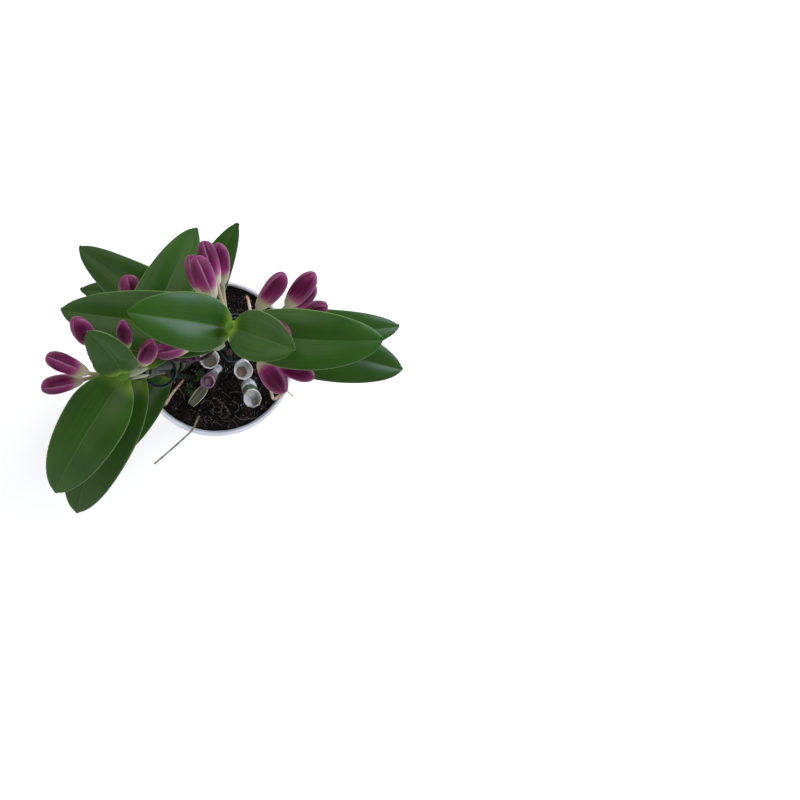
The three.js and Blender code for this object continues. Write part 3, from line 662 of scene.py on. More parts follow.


# Living sheath: green, whitish along its fibres, yellow-green at the collar, and darkened with painted shade
# below 355 mm, where it lies under the leaves.
living, tree, fibres = texture("living_leaf_sheath", (2, 5, 0.65, 8, 8, 0.6))
tissue = add(tree, "ValToRGB", fibres,
             stops=[(0.34, "#3b5023"), (0.5, "#566e3a"), (0.62, "#7f8f62"), (0.75, "#b0b596")])
tissue = painted(tree, tissue, (parts_of(tree)["Z"], 0.72, 0.97, 1, "#557a26", "SMOOTHSTEP"))
level = add(tree, "SeparateXYZ", add(tree, "TexCoord").outputs["Object"]).outputs["Z"]
# Painted shade: below 355 mm the sheath's colour is darkened to about a quarter, where it lies under the
# leaves.
painted_shade_below = add(tree, "MapRange", level, 0.355, 0.385, 0.26, 1)
tissue_in_painted_shade = add(tree, "HueSaturation", {"Color": tissue, "Value": painted_shade_below})
finish(living, tissue_in_painted_shade, fibres, 0.5, 0.3, Roughness=0.6, Specular_IOR_Level=0.2)
for name in CANES:
    own = [leaf for leaf in LEAVES if leaf[0][0] == name]
    top = CANES[name]["top"]
    tubes = [leaf_sheath(name, z - sheath, min(z, top + 1.5), z > top) for _, z, sheath, *_ in own]
    piece(mesh_of("leaf_sheaths_" + name, tubes), living, "papery_sheath",
          *("leaf_" + leaf[0] for leaf in own))

# Leaf blades
# Fourteen leathery blades in two ranks. Each is folded a little along its midrib, arched to
# both sides, drooping to a blunt, lobed tip, with a smooth pale margin under a waxy skin.

BLADE_ARCH = 0.34
BLADE_GROOVE = 0.4
ROOT_GROOVE = 0.35
ROOT_ROUNDNESS = 1.7
TIP_ROUNDNESS = 1.5
TIP_HALF_WIDTH = 0.0018
TIP_LOBE = 0.0012
TIP_POWER = 30
LOBE_SPAN = (-0.5, 1.05)
CLASP_SPAN = (0.08, 0.25)
EDGE_WAVE = 0.035
WAVES = 9
ROLL_END = 1 / 3
BLADE_THICKNESS = 0.9
BLADE_COLUMNS = 25
BLADE_ROWS = 81
MIDRIB_POINTS = 40

# Blade: a grid that follows a midrib, given the outline, the fold and the arch. u runs
# across the blade from edge to edge and s along it, both by share.
blade, given = start_tree(
    "blade", Midrib=["Geometry"], Width=["Float", 0.035], Widest=["Float", 0.42],
    Clasp=["Float", 0.005], Roll=["Float", 0.0], Phase=["Float", 0.0], Lobe=["Float", 1.0])
grid = add(blade, "GeometryNodeMeshGrid", 1.0, 1.0, BLADE_COLUMNS, BLADE_ROWS)
axes = add(blade, "SeparateXYZ", add(blade, "GeometryNodeInputPosition")).outputs
s = add(blade, "MapRange", axes["Y"], -0.5, 0.5, interpolation_type="SMOOTHSTEP")
rib = add(blade, "GeometryNodeSampleCurve", {"Curves": given["Midrib"], "Factor": s}).outputs
known = {
    "s": s, "x": axes["X"], "width": given["Width"], "widest": given["Widest"], "phase": given["Phase"],
    "lobe side": given["Lobe"],
    "beyond": add(blade, "MapRange", s, given["Widest"], 1),
    "least": add(blade, "MapRange", s, *CLASP_SPAN, given["Clasp"], TIP_HALF_WIDTH,
                 interpolation_type="SMOOTHSTEP"),
}


def reckon(*rows):
    """Adds a row of sums to the blade. Each is its name, its operation and its terms, which
    are numbers or names of what is known."""
    for name, operation, *terms in rows:
        known[name] = add(blade, "Math " + operation, *(known.get(term, term) for term in terms))


# The outline: full is 1 at both ends and 0 where the blade is widest.
reckon(("u", "MULTIPLY", "x", -2), ("side", "ABSOLUTE", "u"), ("below", "DIVIDE", "s", "widest"),
       ("below", "SUBTRACT", 1, "below"), ("full", "MAXIMUM", "below", "beyond"),
       ("full", "MULTIPLY", "full", "full"), ("bulge", "SUBTRACT", 1, "full"),
       ("bulge", "MAXIMUM", "bulge", 0), ("lower", "LESS_THAN", "s", "widest"))
known["power"] = add(blade, "MapRange", known["lower"], 0, 1, 1 / TIP_ROUNDNESS, 1 / ROOT_ROUNDNESS)
reckon(("bulge", "POWER", "bulge", "power"), ("half", "MULTIPLY", "bulge", "width"),
       ("half", "MULTIPLY", "half", 0.5), ("half", "MAXIMUM", "half", "least"))

# Height: the groove lifts both halves from the midrib, and the arch bends them down.
reckon(("closing", "SUBTRACT", 1, "s"), ("closing", "POWER", "closing", 6),
       ("groove", "MULTIPLY_ADD", "closing", ROOT_GROOVE, BLADE_GROOVE),
       ("groove", "MULTIPLY", "groove", "side"), ("arch", "MULTIPLY", "side", "side"),
       ("arch", "MULTIPLY_ADD", "arch", -BLADE_ARCH, "groove"),
       ("wave", "MULTIPLY_ADD", "s", WAVES, "phase"), ("wave", "SINE", "wave"),
       ("wave", "MULTIPLY", "wave", "u"), ("wave", "MULTIPLY_ADD", "wave", EDGE_WAVE, "arch"),
       ("height", "MULTIPLY", "wave", "half"))

# The tip's round lobe, on one side of the midrib, with a shoulder on the other.
reckon(("tip", "POWER", "s", TIP_POWER), ("lobe", "MULTIPLY", "u", "lobe side"))
known["lobe"] = add(blade, "MapRange", known["lobe"], *LOBE_SPAN, -1, 1)
reckon(("lobe", "MULTIPLY", "lobe", "lobe"), ("lobe", "SUBTRACT", 1, "lobe"), ("lobe", "SQRT", "lobe"),
       ("lobe", "SUBTRACT", "lobe", 1), ("lobe", "MULTIPLY", "lobe", TIP_LOBE),
       ("lobe", "MULTIPLY", "lobe", "tip"), ("reach", "MULTIPLY", "u", "half"))

# Directions across and up, turned about the midrib by the roll, and the blade's points.
across = add(blade, "VectorMath CROSS_PRODUCT", (0, 0, 1), rib["Tangent"])
across = add(blade, "VectorMath NORMALIZE", across)
turned = add(blade, "MapRange", s, 0, ROLL_END, 0, given["Roll"])
across = add(blade, "VectorRotate", {"Vector": across, "Axis": rib["Tangent"], "Angle": turned},
             rotation_type="AXIS_ANGLE")
up = add(blade, "VectorMath CROSS_PRODUCT", rib["Tangent"], across)
spot = rib["Position"]
for way, share in ((across, "reach"), (up, "height"), (rib["Tangent"], "lobe")):
    spot = add(blade, "VectorMath ADD", spot, add(blade, "VectorMath SCALE", {0: way, 3: known[share]}))
pattern = add(blade, "CombineXYZ", known["u"], s, given["Phase"])
marked = add(blade, "GeometryNodeStoreNamedAttribute", {"Geometry": grid, "Name": "grain", 3: pattern},
             data_type="FLOAT_VECTOR", domain="POINT")
shaped = add(blade, "GeometryNodeSetPosition", {"Geometry": marked, "Position": spot})
end_tree(blade, given, add(blade, "GeometryNodeSetShadeSmooth", shaped))


def heading(azimuth, lift=0.0):
    """A direction from its compass angle and its slope, in degrees."""
    a, e = math.radians(azimuth), math.radians(lift)
    return np.array([math.cos(a) * math.cos(e), math.sin(a) * math.cos(e), math.sin(e)])


def midrib(cane, z, head, sway, length, lift, droop):
    """The midrib's points from inside the sheath's collar to the tip."""
    radius = cane_radius(cane, z)
    points = [cane_point(cane, z - 0.7) + heading(head) * 0.4 * radius]
    span = length + 0.6 * radius
    for k in range(MIDRIB_POINTS):
        share = (k + 0.5) / MIDRIB_POINTS
        points.append(points[-1] + heading(head + sway * share, lift - droop * share) * span / MIDRIB_POINTS)
    return points


# Waxy blade: deep green over fine parallel veins, darker on the leaves lower down, with a faint midrib line,
# a thin pale margin and a yellow-green root, under an even coat of wax.
wax, tree, veins, patch = texture("waxy_leaf_blade", (1, 4, 0.6, 26, 1.3, 1), (35, 3, 0.5))
parts = parts_of(tree)
tone = add(tree, "Math MULTIPLY_ADD", veins, 0.45, add(tree, "Math MULTIPLY", patch, 0.55))
green = add(tree, "ValToRGB", tone, stops=[(0.35, "#244510"), (0.5, "#2c4f12"), (0.68, "#355a17")])
# Darker on the leaves lower down, by the height held in the grain.
lower_leaves_darker = add(tree, "MapRange", parts["Z"], 240, 400, 0.78, 1)
green = add(tree, "HueSaturation", {"Color": green, "Value": lower_leaves_darker})
edge = add(tree, "Math ABSOLUTE", parts["X"])
skin = painted(tree, green, (edge, 0.035, 0.01, 0.3, "#5d8040"),
               (parts["Y"], 0.14, 0, 0.8, "#7d9f34", "SMOOTHSTEP"), (edge, 0.968, 0.988, 0.6, "#7f9f5c"))
finish(wax, skin, veins, 0.12, 0.12, Roughness=0.32, Specular_IOR_Level=0.22)
for name, z, sheath, head, sway, length, width, lift, droop, roll, widest in LEAVES:
    line = midrib(name[0], z, head, sway, length, lift, droop)
    mesh = grow_along(line, [1] * len(line), blade, "leaf_blade_" + name, Width=width * MM, Widest=widest,
                      Clasp=(0.5 * cane_radius(name[0], z) + 2.6) * MM, Roll=math.radians(roll),
                      Phase=float(z), Lobe=-1.0 if head > 0 else 1.0, Finish=wax)
    leaf = piece(mesh, None, "leaf_blade", "leaf_" + name)
    body = leaf.modifiers.new("thickness", "SOLIDIFY")
    body.thickness = BLADE_THICKNESS * MM
    body.offset = 0

# Bud clusters
# Twelve short stalks leave the canes at their joints, each with one to four closed buds on
# its own pedicel. Three fleshy sepals wrap a bud, edge over edge, with a chin at its base.

BUD_CLUSTERS = {
    # name led by its cane: height of the joint; the stalk's azimuth, reach and rise; and for
    # each bud its base's azimuth, reach and rise, its own azimuth and lift, length and width
    "a1": (389, (115, 10, 1), [
        (130, 28, -9, 107, 42, 30, 12.5), (122, 21, 12, 113, 31, 30, 13),
        (109, 28, -2, 108, 31, 30.5, 12), (102, 28, -15, 96, 41, 31, 11)]),
    "a2": (360, (28, 15, 4), [
        (41, 20, 14, 53, 35, 31, 12.5), (24, 36, 12, 51, 36, 30.5, 13),
        (21, 37.5, -5, 42, 50, 30, 11.5), (17, 40, -17, 9, 45, 28, 10.5)]),
    "a3": (395, (10, 8, 5), [(15, 19, 9, -36, 52, 27, 11.5)]),
    "a4": (331, (-44, 12, 8), [(-48, 24.5, 17, -54, 39, 31, 14), (-38, 31, 12, -22, 30, 31, 12)]),
    "a5": (359, (206, 13, 6), [(201, 27.5, 9, 192, 28, 24, 11)]),
    "a6": (303, (-16, 10, 2), [(-28, 24, 5, -20, 25, 27, 11), (-4, 27, 3, 5, 22, 27, 11)]),
    "a7": (275, (186, 10, 2), [(186, 24, 6, 182, 25, 26, 10.5)]),
    "a8": (331, (215, 13, 1), [(217, 30, 3, 163, 10, 22, 10)]),
    "b1": (384, (168, 12, 3), [
        (179, 22, -2, 156, 33, 29.5, 11.5), (188, 26, -11, 192, 38, 29, 11.5),
        (138, 26, 2, 119, 54, 28, 12.5)]),
    "b2": (359, (72, 5, 10), [(105, 15, 19, 93, 58, 29, 9.3), (40, 6.5, 20, 62, 53, 26.5, 11)]),
    "b3": (334, (98, 18, -2), [(101, 41, -10, 99, 34, 23, 13.8)]),
    "b4": (259, (150, 9, 2), [(150, 22, 6, 150, 30, 26, 11)]),
}
STALK_FLAPS = {
    # start, direction, length, half width
    "a3": [((8.3, 14, 404), (-0.02, -0.27, -0.96), 16, 1.6),
           ((4.5, 8.5, 372), (-0.8, -0.5, 0.35), 6.5, 2.1)],
    "b2": [((-54.5, -11, 383), (0.93, 0.33, -0.2), 13, 1.9),
           ((-52, -12.3, 378), (0.95, 0.15, -0.25), 11, 1.2)],
}
# The cluster whose whole colour is painted shade, a dark copy of the sepal skin.
SHADED_CLUSTER = "a8"
STALK_RADIUS = 1.5
STALK_SIDES = 16
PEDICEL_RADIUS = 1.15
PEDICEL_POINTS = 12
PEDICEL_SIDES = 14
BRACT_SIDES = 14
BUD_PROFILE = [(0, 0.34), (0.08, 0.6), (0.28, 0.84), (0.6, 1), (0.82, 0.88), (0.95, 0.55), (1, 0.2)]
BUD_CHIN = 0.15
BUD_SPUR = 0.22
BUD_KEEL = 0.05
SEPAL_POINTS = 15
SEPAL_WRAP = 0.494
SEPAL_LIP = 0.35


def smooth_path(knots, steps):
    """Points on a smooth curve through the knots, the same number between each two."""
    return [between(knots, i, k / steps) for i in range(len(knots) - 1) for k in range(steps)] + [
        np.array(knots[-1], float)]


def unit(vector):
    """A vector at length one."""
    return vector / np.linalg.norm(vector)


def course(points, k):
    """The direction of a line of points at one of them."""
    return unit(points[min(k + 1, len(points) - 1)] - points[max(k - 1, 0)])


def tube(points, radii, sides, grain=None):
    """Skins a round tube along points. Its grain may be given for each of them."""
    angles = turns(sides)
    rings, grains = [], []
    aside = None
    for k, (point, radius) in enumerate(zip(points, radii)):
        along = course(points, k)
        if aside is None:
            aside = np.cross(along, (0, 0, 1) if abs(along[2]) < 0.9 else (0, 1, 0))
        aside = unit(aside - along * aside.dot(along))
        above = np.cross(along, aside)
        rings.append(point + np.outer(np.cos(angles), aside) * radius
                     + np.outer(np.sin(angles), above) * radius)
        grains.append(round_grain(sides, k / (len(points) - 1)) if grain is None
                      else np.tile(grain[k], (sides, 1)))
    return shell(rings, grains)


def bud(base, azimuth, lift, length, width, tone):
    """A closed bud. Its pattern coordinates are across a sepal, along the bud, and its tone."""
    axis, down = heading(azimuth, lift), heading(azimuth, lift - 90)
    side = np.cross(axis, down)
    twist = 0.6 + 0.5 * math.sin(9 * tone)
    rings, grain = [], []
    for share, fullness in smooth_path(BUD_PROFILE, 5):
        chin = BUD_CHIN * width * math.exp(-((share - 0.14) / 0.14) ** 2)
        centre = base + axis * length * share + down * chin
        lip = SEPAL_LIP * min(1, 6 * share) * min(1, 8 * (1.02 - share))
        spur = BUD_SPUR * math.exp(-((share - 0.1) / 0.09) ** 2)
        ring, marks = [], []
        for sepal in range(3):
            for across in 2 * np.arange(SEPAL_POINTS) / (SEPAL_POINTS - 1) - 1:
                angle = 2 * math.pi * (sepal + 0.5 + SEPAL_WRAP * across) / 3 + twist
                radius = (0.5 * width * fullness * (1 + BUD_KEEL * math.cos(3 * (angle - twist)))
                          * (1 + spur * max(0, math.cos(angle)) ** 2)) + lip * (max(0, across) ** 3 - 0.45)
                ring.append(centre + down * radius * math.cos(angle) + side * radius * math.sin(angle))
                marks.append((across, share, tone))
        rings.append(ring)
        grain.append(marks)
    return shell(rings, grain)


def bract(start, axis, length, width, tone):
    """A small papery scale that clasps a stalk."""
    axis = unit(axis)
    aside = unit(np.cross(axis, (0, 0, 1)))
    above = np.cross(axis, aside)
    angles = turns(BRACT_SIDES)
    slant = 1 + 0.4 * np.cos(angles)
    spokes = np.outer(np.cos(angles), above) + np.outer(np.sin(angles), aside)
    rings = []
    for share, open_share in ((0, 0.75), (0.35, 1), (0.75, 0.9), (1, 0.45)):
        spine = start + np.outer(share * length * (0.6 + 0.4 * slant), axis)
        rings.append(spine + width * open_share * spokes)
    return shell(rings, np.tile((0.5, -1.6, tone), (len(rings), BRACT_SIDES, 1)))


def bud_cluster(cane, z, stalk, buds, seed):
    """The shells of a stalk with its bract, and of each bud with its pedicel and bract."""
    joint = cane_point(cane, z)

    def out(azimuth, reach, rise):
        return joint + heading(azimuth) * reach + np.array([0, 0, rise])

    fork = out(*stalk)
    foot = joint + heading(stalk[0]) * cane_radius(cane, z) * 0.7
    stem = [foot + (fork - foot) * k / 4 for k in range(5)]
    made = [tube(stem, [STALK_RADIUS * f for f in (1.15, 1, 0.95, 1, 1.1)], STALK_SIDES,
                 [(0, -1 + k / 8, seed) for k in range(5)]),
            bract(foot + (fork - foot) * 0.3, fork - foot, 6, 2.3, seed)]
    shares = np.linspace(0, 1, PEDICEL_POINTS)
    for k, (*base, azimuth, lift, length, width) in enumerate(buds):
        base = out(*base)
        axis = heading(azimuth, lift)
        bend = base - axis * 0.45 * np.linalg.norm(base - fork)
        start = joint + (fork - joint) * 0.8
        end = base + axis * 2
        line = [start * (1 - t) ** 2 + 2 * bend * t * (1 - t) + end * t * t for t in shares]
        radii = [PEDICEL_RADIUS * (1 + 0.5 * max(0, t - 0.75) / 0.25) for t in shares]
        tone = seed + 0.13 * k
        made += [tube(line, radii, PEDICEL_SIDES, [(0, -0.6 + 0.6 * t, tone) for t in shares]),
                 bract(line[1], line[3] - line[1], 4.5, 1.9, tone),
                 bud(base, azimuth, lift, length, width, tone)]
    return made


# Sepals: smooth petal skin, magenta to wine with darker veins lengthwise. Each has painted shade in wine on
# the side tucked under its neighbour, a painted highlight on its raised overlapping side, and a fine pale
# edge. Base, chin and stalk are greenish cream.
petal_skin, tree, veins, cloud = texture("sepal_skin", (1.5, 4, 0.6, 5, 1.1, 9), (70, 2, 0.5))
parts = parts_of(tree)
level = add(tree, "Math MULTIPLY_ADD", cloud, 0.22, parts["Y"])
lengthwise = add(tree, "ValToRGB", add(tree, "MapRange", level, -1.5, 1.1), stops=[
    (0, "#a6ad8f"), (0.2, "#7f7450"), (0.45, "#938c64"), (0.58, "#a8987a"), (0.63, "#b9a3a0"),
    (0.675, "#b7b58a"), (0.71, "#b5a488"), (0.75, "#a45c80"), (0.8, "#8a2362"), (0.86, "#6b174a"),
    (0.95, "#5c133c"), (1, "#7a2d55")])
flesh = add(tree, "MapRange", parts["Y"], 0.25, 0.5, 0, 1, interpolation_type="SMOOTHSTEP")
# Painted shade in wine on each sepal's tucked side, and a painted highlight on its overlapping side.
coat = painted(tree, lengthwise, (veins, 0.46, 0.68, 0.8, "#3b0a1f"),
               (parts["X"], -0.3, -0.95, 0.6, "#400c25"), (parts["X"], 0.3, 0.92, 0.5, "#98487a"),
               (add(tree, "Math ABSOLUTE", parts["X"]), 0.93, 0.985, 0.45, "#c796a8"), within=flesh)
finish(petal_skin, coat, veins, 0.2, 0.15, Roughness=0.42, Specular_IOR_Level=0.12, Subsurface_Weight=0.04,
       Subsurface_Scale=0.001)

# Shaded sepals: the cluster in the shade below cane a, stalk, pedicel and bud, is painted a dull, dark
# brownish purple as painted shade.
painted_shade_skin = blotched(
    "withered_sepal_skin", (240, 4, 0.5), [(0.3, "#21101a"), (0.5, "#40222f"), (0.7, "#6f5463")],
    0.6, 0.4, Roughness=0.8, Specular_IOR_Level=0.2)
for number, (name, cluster) in enumerate(BUD_CLUSTERS.items()):
    shells = bud_cluster(name[0], *cluster, 0.37 * number)
    shells += [bract(np.array(start), np.array(axis), length, width, 0)
               for start, axis, length, width in STALK_FLAPS.get(name, ())]
    piece(mesh_of("bud_cluster_" + name, shells), painted_shade_skin if name == SHADED_CLUSTER else petal_skin, "bud_skin",
          "buds_" + name)

# Old canes
# Four older canes were cut back. Their dry sheaths still stand as thin whitish cups round
# the cut, and the brown cut face dries at the bottom of each cup.

OLD_CANES = {
    "1": dict(foot=(-2.6, 0.6, 88), top=(-5.1, -0.9, 151), radius=5.2, cup=7.3, shift=(0.2, -1.4),
              face_radius=4.6, depth=7, cut="#b9aca2"),
    "2": dict(foot=(20.2, -5.5, 88), top=(19.9, -9.3, 151), radius=5.3, cup=7.1, shift=(-1.3, -1.5),
              face_radius=4.0, depth=7, cut="#bfa28a"),
    # The third's grey stain_or_shade is painted shade over the top of its cup and inside it.
    "3": dict(foot=(23.5, -17.5, 88), top=(26.9, -30.7, 136), radius=4.4, cup=6.8, shift=(1.9, -2.9),
              face_radius=2.6, depth=3, cut="#a08571", stain_or_shade="#d2d0cc", swell=1.35, green=0.95, lowest=1,
              highest=15.5),
    "4": dict(foot=(5, -4, 88), top=(-6.7, -18, 140), radius=2.7, cup=5.4, shift=(0.2, -0.6),
              face_radius=3.3, depth=3.2, cut="#c48fab", stain_or_shade="#c893ae", green=0.6),
}
CUP_HEIGHT = 20
OLD_SIDES = 48
NECK_PLACES = ((0, 0.9), (0.44, 1.0), (0.5, 1.12))
CUT_PROFILE = ((-0.6, -0.4), (0.4, 0), (0.8, -0.4), (0.7, -1.5))
ALGAE_EDGE = (0.45, 0.6)


def old_cane(name, foot, top, radius, cup, shift, face_radius, depth, cut, stain_or_shade="#ffffff", swell=1, green=0,
             lowest=-2, highest=7.5):
    """The sheathed stub with its cup, and its cut face. cup, face_radius and depth are of the cup's rim and
    of the face in it, which shift moves aside. stain_or_shade tints the cup above the highest place, a real
    purple stain on the fourth and painted shade on the third, swell widens the neck, and green is the
    strength of its algae, from lowest to highest place."""
    foot, top, shift = np.array(foot, float), np.array(top, float), np.array([*shift, 0])
    full = top[2] - foot[2]
    neck = full - CUP_HEIGHT
    ledge = max(face_radius + 0.1, cup - 0.9 - math.hypot(*shift[:2]))
    angles = turns(OLD_SIDES)
    tear = 0.6 * np.sin(angles + 1.5) + 0.25 * np.sin(3 * angles) + 0.12 * np.sin(11 * angles)
    # Height, radius, how far the ring is shifted and how much it is torn.
    profile = [(neck * place, radius * share, 0, 0) for place, share in NECK_PLACES] + [
        (neck * 0.53, radius * swell, 0, 0), (neck, radius * (0.95 * swell), 0, 0),
        (neck + 1.2, (radius * swell + cup) / 2 - 0.5, 0, 0), (full - 9, cup - 0.8, 0, 0),
        (full - 4, cup - 0.45, 0, 0), (full - 0.3, cup - 0.1, 0, 0.9), (full, cup - 0.25, 0, 0.9),
        (full - 0.1, cup - 0.75, 0, 0.9), (full - min(2.5, depth - 1.5), cup - 1.0, 0, 0.3),
        (full - depth + 1, ledge, 1, 0), (full - depth, ledge - 0.6, 1, 0)]
    rings, grain = [], []
    for height, size, moved, torn in profile:
        share = height / full
        ripple = 1 + 0.02 * np.sin(9 * angles + 2 * share) + 0.012 * np.sin(17 * angles)
        ring = circle(foot + (top - foot) * share + moved * shift, size * ripple, OLD_SIDES)
        ring[:, 2] += torn * tear
        rings.append(ring)
        grain.append(round_grain(OLD_SIDES, height / 10))

    # Papery cup: bleached, slightly translucent sheath with fine grey fibres lengthwise. One is stained
    # purple, and one is tinted grey over the top of its cup and inside it as painted shade. Green algae
    # cover the outside of one cup and the neck of another.
    paper, tree, fibres, spots = texture(
        "bleached_sheath_cup_" + name, (2.2, 5, 0.7, 8, 8, 0.35), (90, 3, 0.5))
    bleached = add(tree, "ValToRGB", add(tree, "Math MULTIPLY", fibres, spots),
                   stops=[(0.12, "#646a5c"), (0.2, "#a6a9a2"), (0.27, "#d9dad8"), (0.36, "#ffffff")])
    ragged = add(tree, "Math MULTIPLY_ADD", spots, 0.9, parts_of(tree)["Z"])
    below, above = (add(tree, "MapRange", ragged, *((neck + place) / 10 + edge for edge in ALGAE_EDGE))
                    for place in (lowest, highest))
    # Above the highest place: a real stain, or on the third cup painted shade in its hollow.
    stained_or_shaded = add(tree, "Mix", {0: above, 6: bleached, 7: stain_or_shade}, data_type="RGBA", blend_type="MULTIPLY")
    algae = add(tree, "Math SUBTRACT", below, above)
    stained_or_shaded = painted(tree, stained_or_shaded.outputs[2], (algae, 0, 1, green, "#3d5320"))
    finish(paper, stained_or_shaded, fibres, 0.5, 0.3, Roughness=0.5, Subsurface_Weight=0.2, Subsurface_Scale=0.002)
    piece(mesh_of("old_cane_cup_" + name, [shell(rings, grain)]), paper, "papery_sheath", "old_cane_" + name)

    # Cut face: corky brown, paler at its edge, with the dots of the cane's vessels.
    cork, tree, rough = texture("corky_cut_face_" + name, (500, 4, 0.5))
    dots = add(tree, "TexVoronoi", {"Vector": add(tree, "TexCoord").outputs["Object"], "Scale": 1500})
    tint = add(tree, "Math MULTIPLY", dots.outputs["Distance"], rough)
    dark = [0.35 * c for c in linear(cut)[:3]] + [1]
    face = add(tree, "Mix", {0: tint, 6: dark, 7: cut}, data_type="RGBA")
    finish(cork, face.outputs[2], rough, 0.6, 0.3, Roughness=0.85)
    centre = foot + (top - foot) * ((full - depth) / full) + shift
    disc = [circle(centre + np.array([0, 0, z]), face_radius + r, OLD_SIDES) for z, r in CUT_PROFILE]
    piece(mesh_of("old_cane_cut_" + name, [shell(disc)]), cork, "cane_skin", "old_cane_" + name)


for name, values in OLD_CANES.items():
    old_cane(name, **values)

# Husk
# A dry leaf sheath has fallen on the mix. It is flat, grey-green and ribbed lengthwise, with
# cream edges.

HUSK_PATH = [(-8.5, -22.5, 108), (-13, -28, 109.5), (-19.5, -35.8, 107.5)]
HUSK_HALF_WIDTH = 4
HUSK_HALF_DEPTH = 1.8
HUSK_SIDES = 44
HUSK_RIB = 0.12
HUSK_HOLLOW = 0.45


def husk():
    """A flat, ribbed, slightly hollowed sheath along its path."""
    angles = turns(HUSK_SIDES)
    ribs = 1 + HUSK_RIB * np.abs(np.cos(4.5 * angles))
    hollow = 1 - HUSK_HOLLOW * np.maximum(0, np.sin(angles)) * np.exp(-(np.cos(angles) / 0.6) ** 2)
    rings, grain = [], []
    points = smooth_path(HUSK_PATH, 10)
    for k, point in enumerate(points):
        share = k / (len(points) - 1)
        along = course(points, k)
        across = unit(np.cross((0, 0, 1), along))
        full = 0.5 + 0.5 * math.sin(math.pi * min(1, 0.12 + share * 0.8))
        above = np.cross(along, across)
        rings.append(point + np.outer(np.cos(angles), across) * HUSK_HALF_WIDTH * full
                     + np.outer(np.sin(angles) * ribs * hollow, above) * HUSK_HALF_DEPTH * full)
        grain.append(round_grain(HUSK_SIDES, share))
    return shell(rings, grain)


# Husk paper: dry, dark grey-green with paler ribs, and cream at both edges.
husk_paper, tree, ribs = texture("dry_leaf_husk", (1.2, 4, 0.5, 14, 1, 0.8))
ribbed = add(tree, "ValToRGB", ribs, stops=[(0.38, "#23271c"), (0.5, "#42463a"), (0.66, "#8a8b76")])
edge = add(tree, "Math ABSOLUTE", parts_of(tree)["X"])
edged = painted(tree, ribbed, (edge, 0.8, 0.95, 1, "#cfc6a2", "SMOOTHSTEP"))
finish(husk_paper, edged, ribs, 0.6, 0.4, Roughness=0.7)
piece(mesh_of("fallen_husk", [husk()]), husk_paper, "papery_sheath", "dry_husk")

# Stakes
# Two thin split-bamboo sticks, dyed a very dark green, stand in the mix beside the canes.
# Their sawn tops show the undyed wood, weathered brown.

STAKES = {"a": ((21.1, 15.8, 30), (7.9, 3.6, 345), 2.4), "b": ((-13.4, -16.2, 30), (-31, -10.8, 312), 2)}
STAKE_STEPS = 40
STAKE_SIDES = 24
STAKE_KNOTS = (13, 27)

# Dyed bamboo: nearly black green, dull, with fine streaks. Its sawn end: weathered brown.
bamboo = blotched(
    "dyed_bamboo", (2, 5, 0.7, 7, 7, 2), [(0.3, "#0b100b"), (0.55, "#131b14"), (0.75, "#20291c")],
    0.5, 0.2, Roughness=0.85, IOR=1.1)
sawn = blotched(
    "sawn_bamboo_end", (1400, 3, 0.5), [(0.35, "#211a14"), (0.5, "#3c2f22"), (0.7, "#6b5d38")],
    0.5, 0.2, Roughness=0.8)
for name, (foot, top, radius) in STAKES.items():
    foot, top = np.array(foot, float), np.array(top, float)
    upward = unit(top - foot)
    line = [foot + (top - foot) * k / STAKE_STEPS for k in range(STAKE_STEPS)] + [top - upward * 0.3]
    girth = [radius * (0.96 + 0.02 * math.sin(0.9 * k) + (0.04 if k in STAKE_KNOTS else 0))
             for k in range(STAKE_STEPS + 1)]
    end = [top + upward * past for past in (-0.5, -0.1, 0)]
    for label, points, radii, wood in (("stake_stick_", line, girth, bamboo),
                                       ("stake_top_", end, [radius * f for f in (0.9, 0.9, 0.8)], sawn)):
        piece(mesh_of(label + name, [tube(points, radii, STAKE_SIDES)]), wood, "stake_wood", "stake_" + name)

# Clips
# Ring clips of dark teal polypropylene tie each cane to its stake. Each is one bent wire
# that snaps shut in a small catch.

CLIP_WIRE = 0.95
CLIP_STEPS = 96
CLIP_SIDES = 14
CATCH_SWELL = 0.45
CATCH_NOTCH = 0.25
CLIPS = {
    # centre, half width, half length, angle of the catch
    "a1": ((11, 11.6, 316), 9, 13.4, 250),
    "a2": ((13.8, 17.6, 214), 12.5, 12.5, 40),
    "b1": ((-36.3, -8.5, 304), 10, 10, 200),
}


def clip(centre, half_width, half_length, catch):
    """A closed ring of round wire, thicker where its two ends snap together."""
    rings = []
    for angle in turns(CLIP_STEPS):
        gap = abs((math.degrees(angle) - catch + 180) % 360 - 180)
        wire = CLIP_WIRE * (1 + CATCH_SWELL / (1 + math.exp((gap - 9) / 1.2))
                            - CATCH_NOTCH * math.exp(-(gap / 1.6) ** 2))
        spot = np.array(centre) + np.array([half_width * math.cos(angle), half_length * math.sin(angle), 0])
        out = unit(np.array([math.cos(angle) / half_width, math.sin(angle) / half_length, 0]))
        rings.append([spot + wire * (math.cos(a) * out + math.sin(a) * np.array([0, 0, 1]))
                      for a in turns(CLIP_SIDES)])
    return shell(rings, closed=False)


# Moulded plastic wire: very dark teal, satin, finely scuffed.
teal_plastic = blotched("moulded_teal_plastic", (600, 4, 0.5), [(0.4, "#04171c"), (0.7, "#0a2a2e")],
                        0.15, 0.1, Roughness=0.4, Specular_IOR_Level=0.3)
for name, form in CLIPS.items():
    piece(mesh_of("ring_clip_" + name, [clip(*form)]), teal_plastic, "clip_plastic", "clip_" + name)

# Roots
# Dry aerial roots lie on the mix and over the rim, with a few finer rootlets curled on the
# mix. Their spongy coat is papery white to tan and wrinkled.

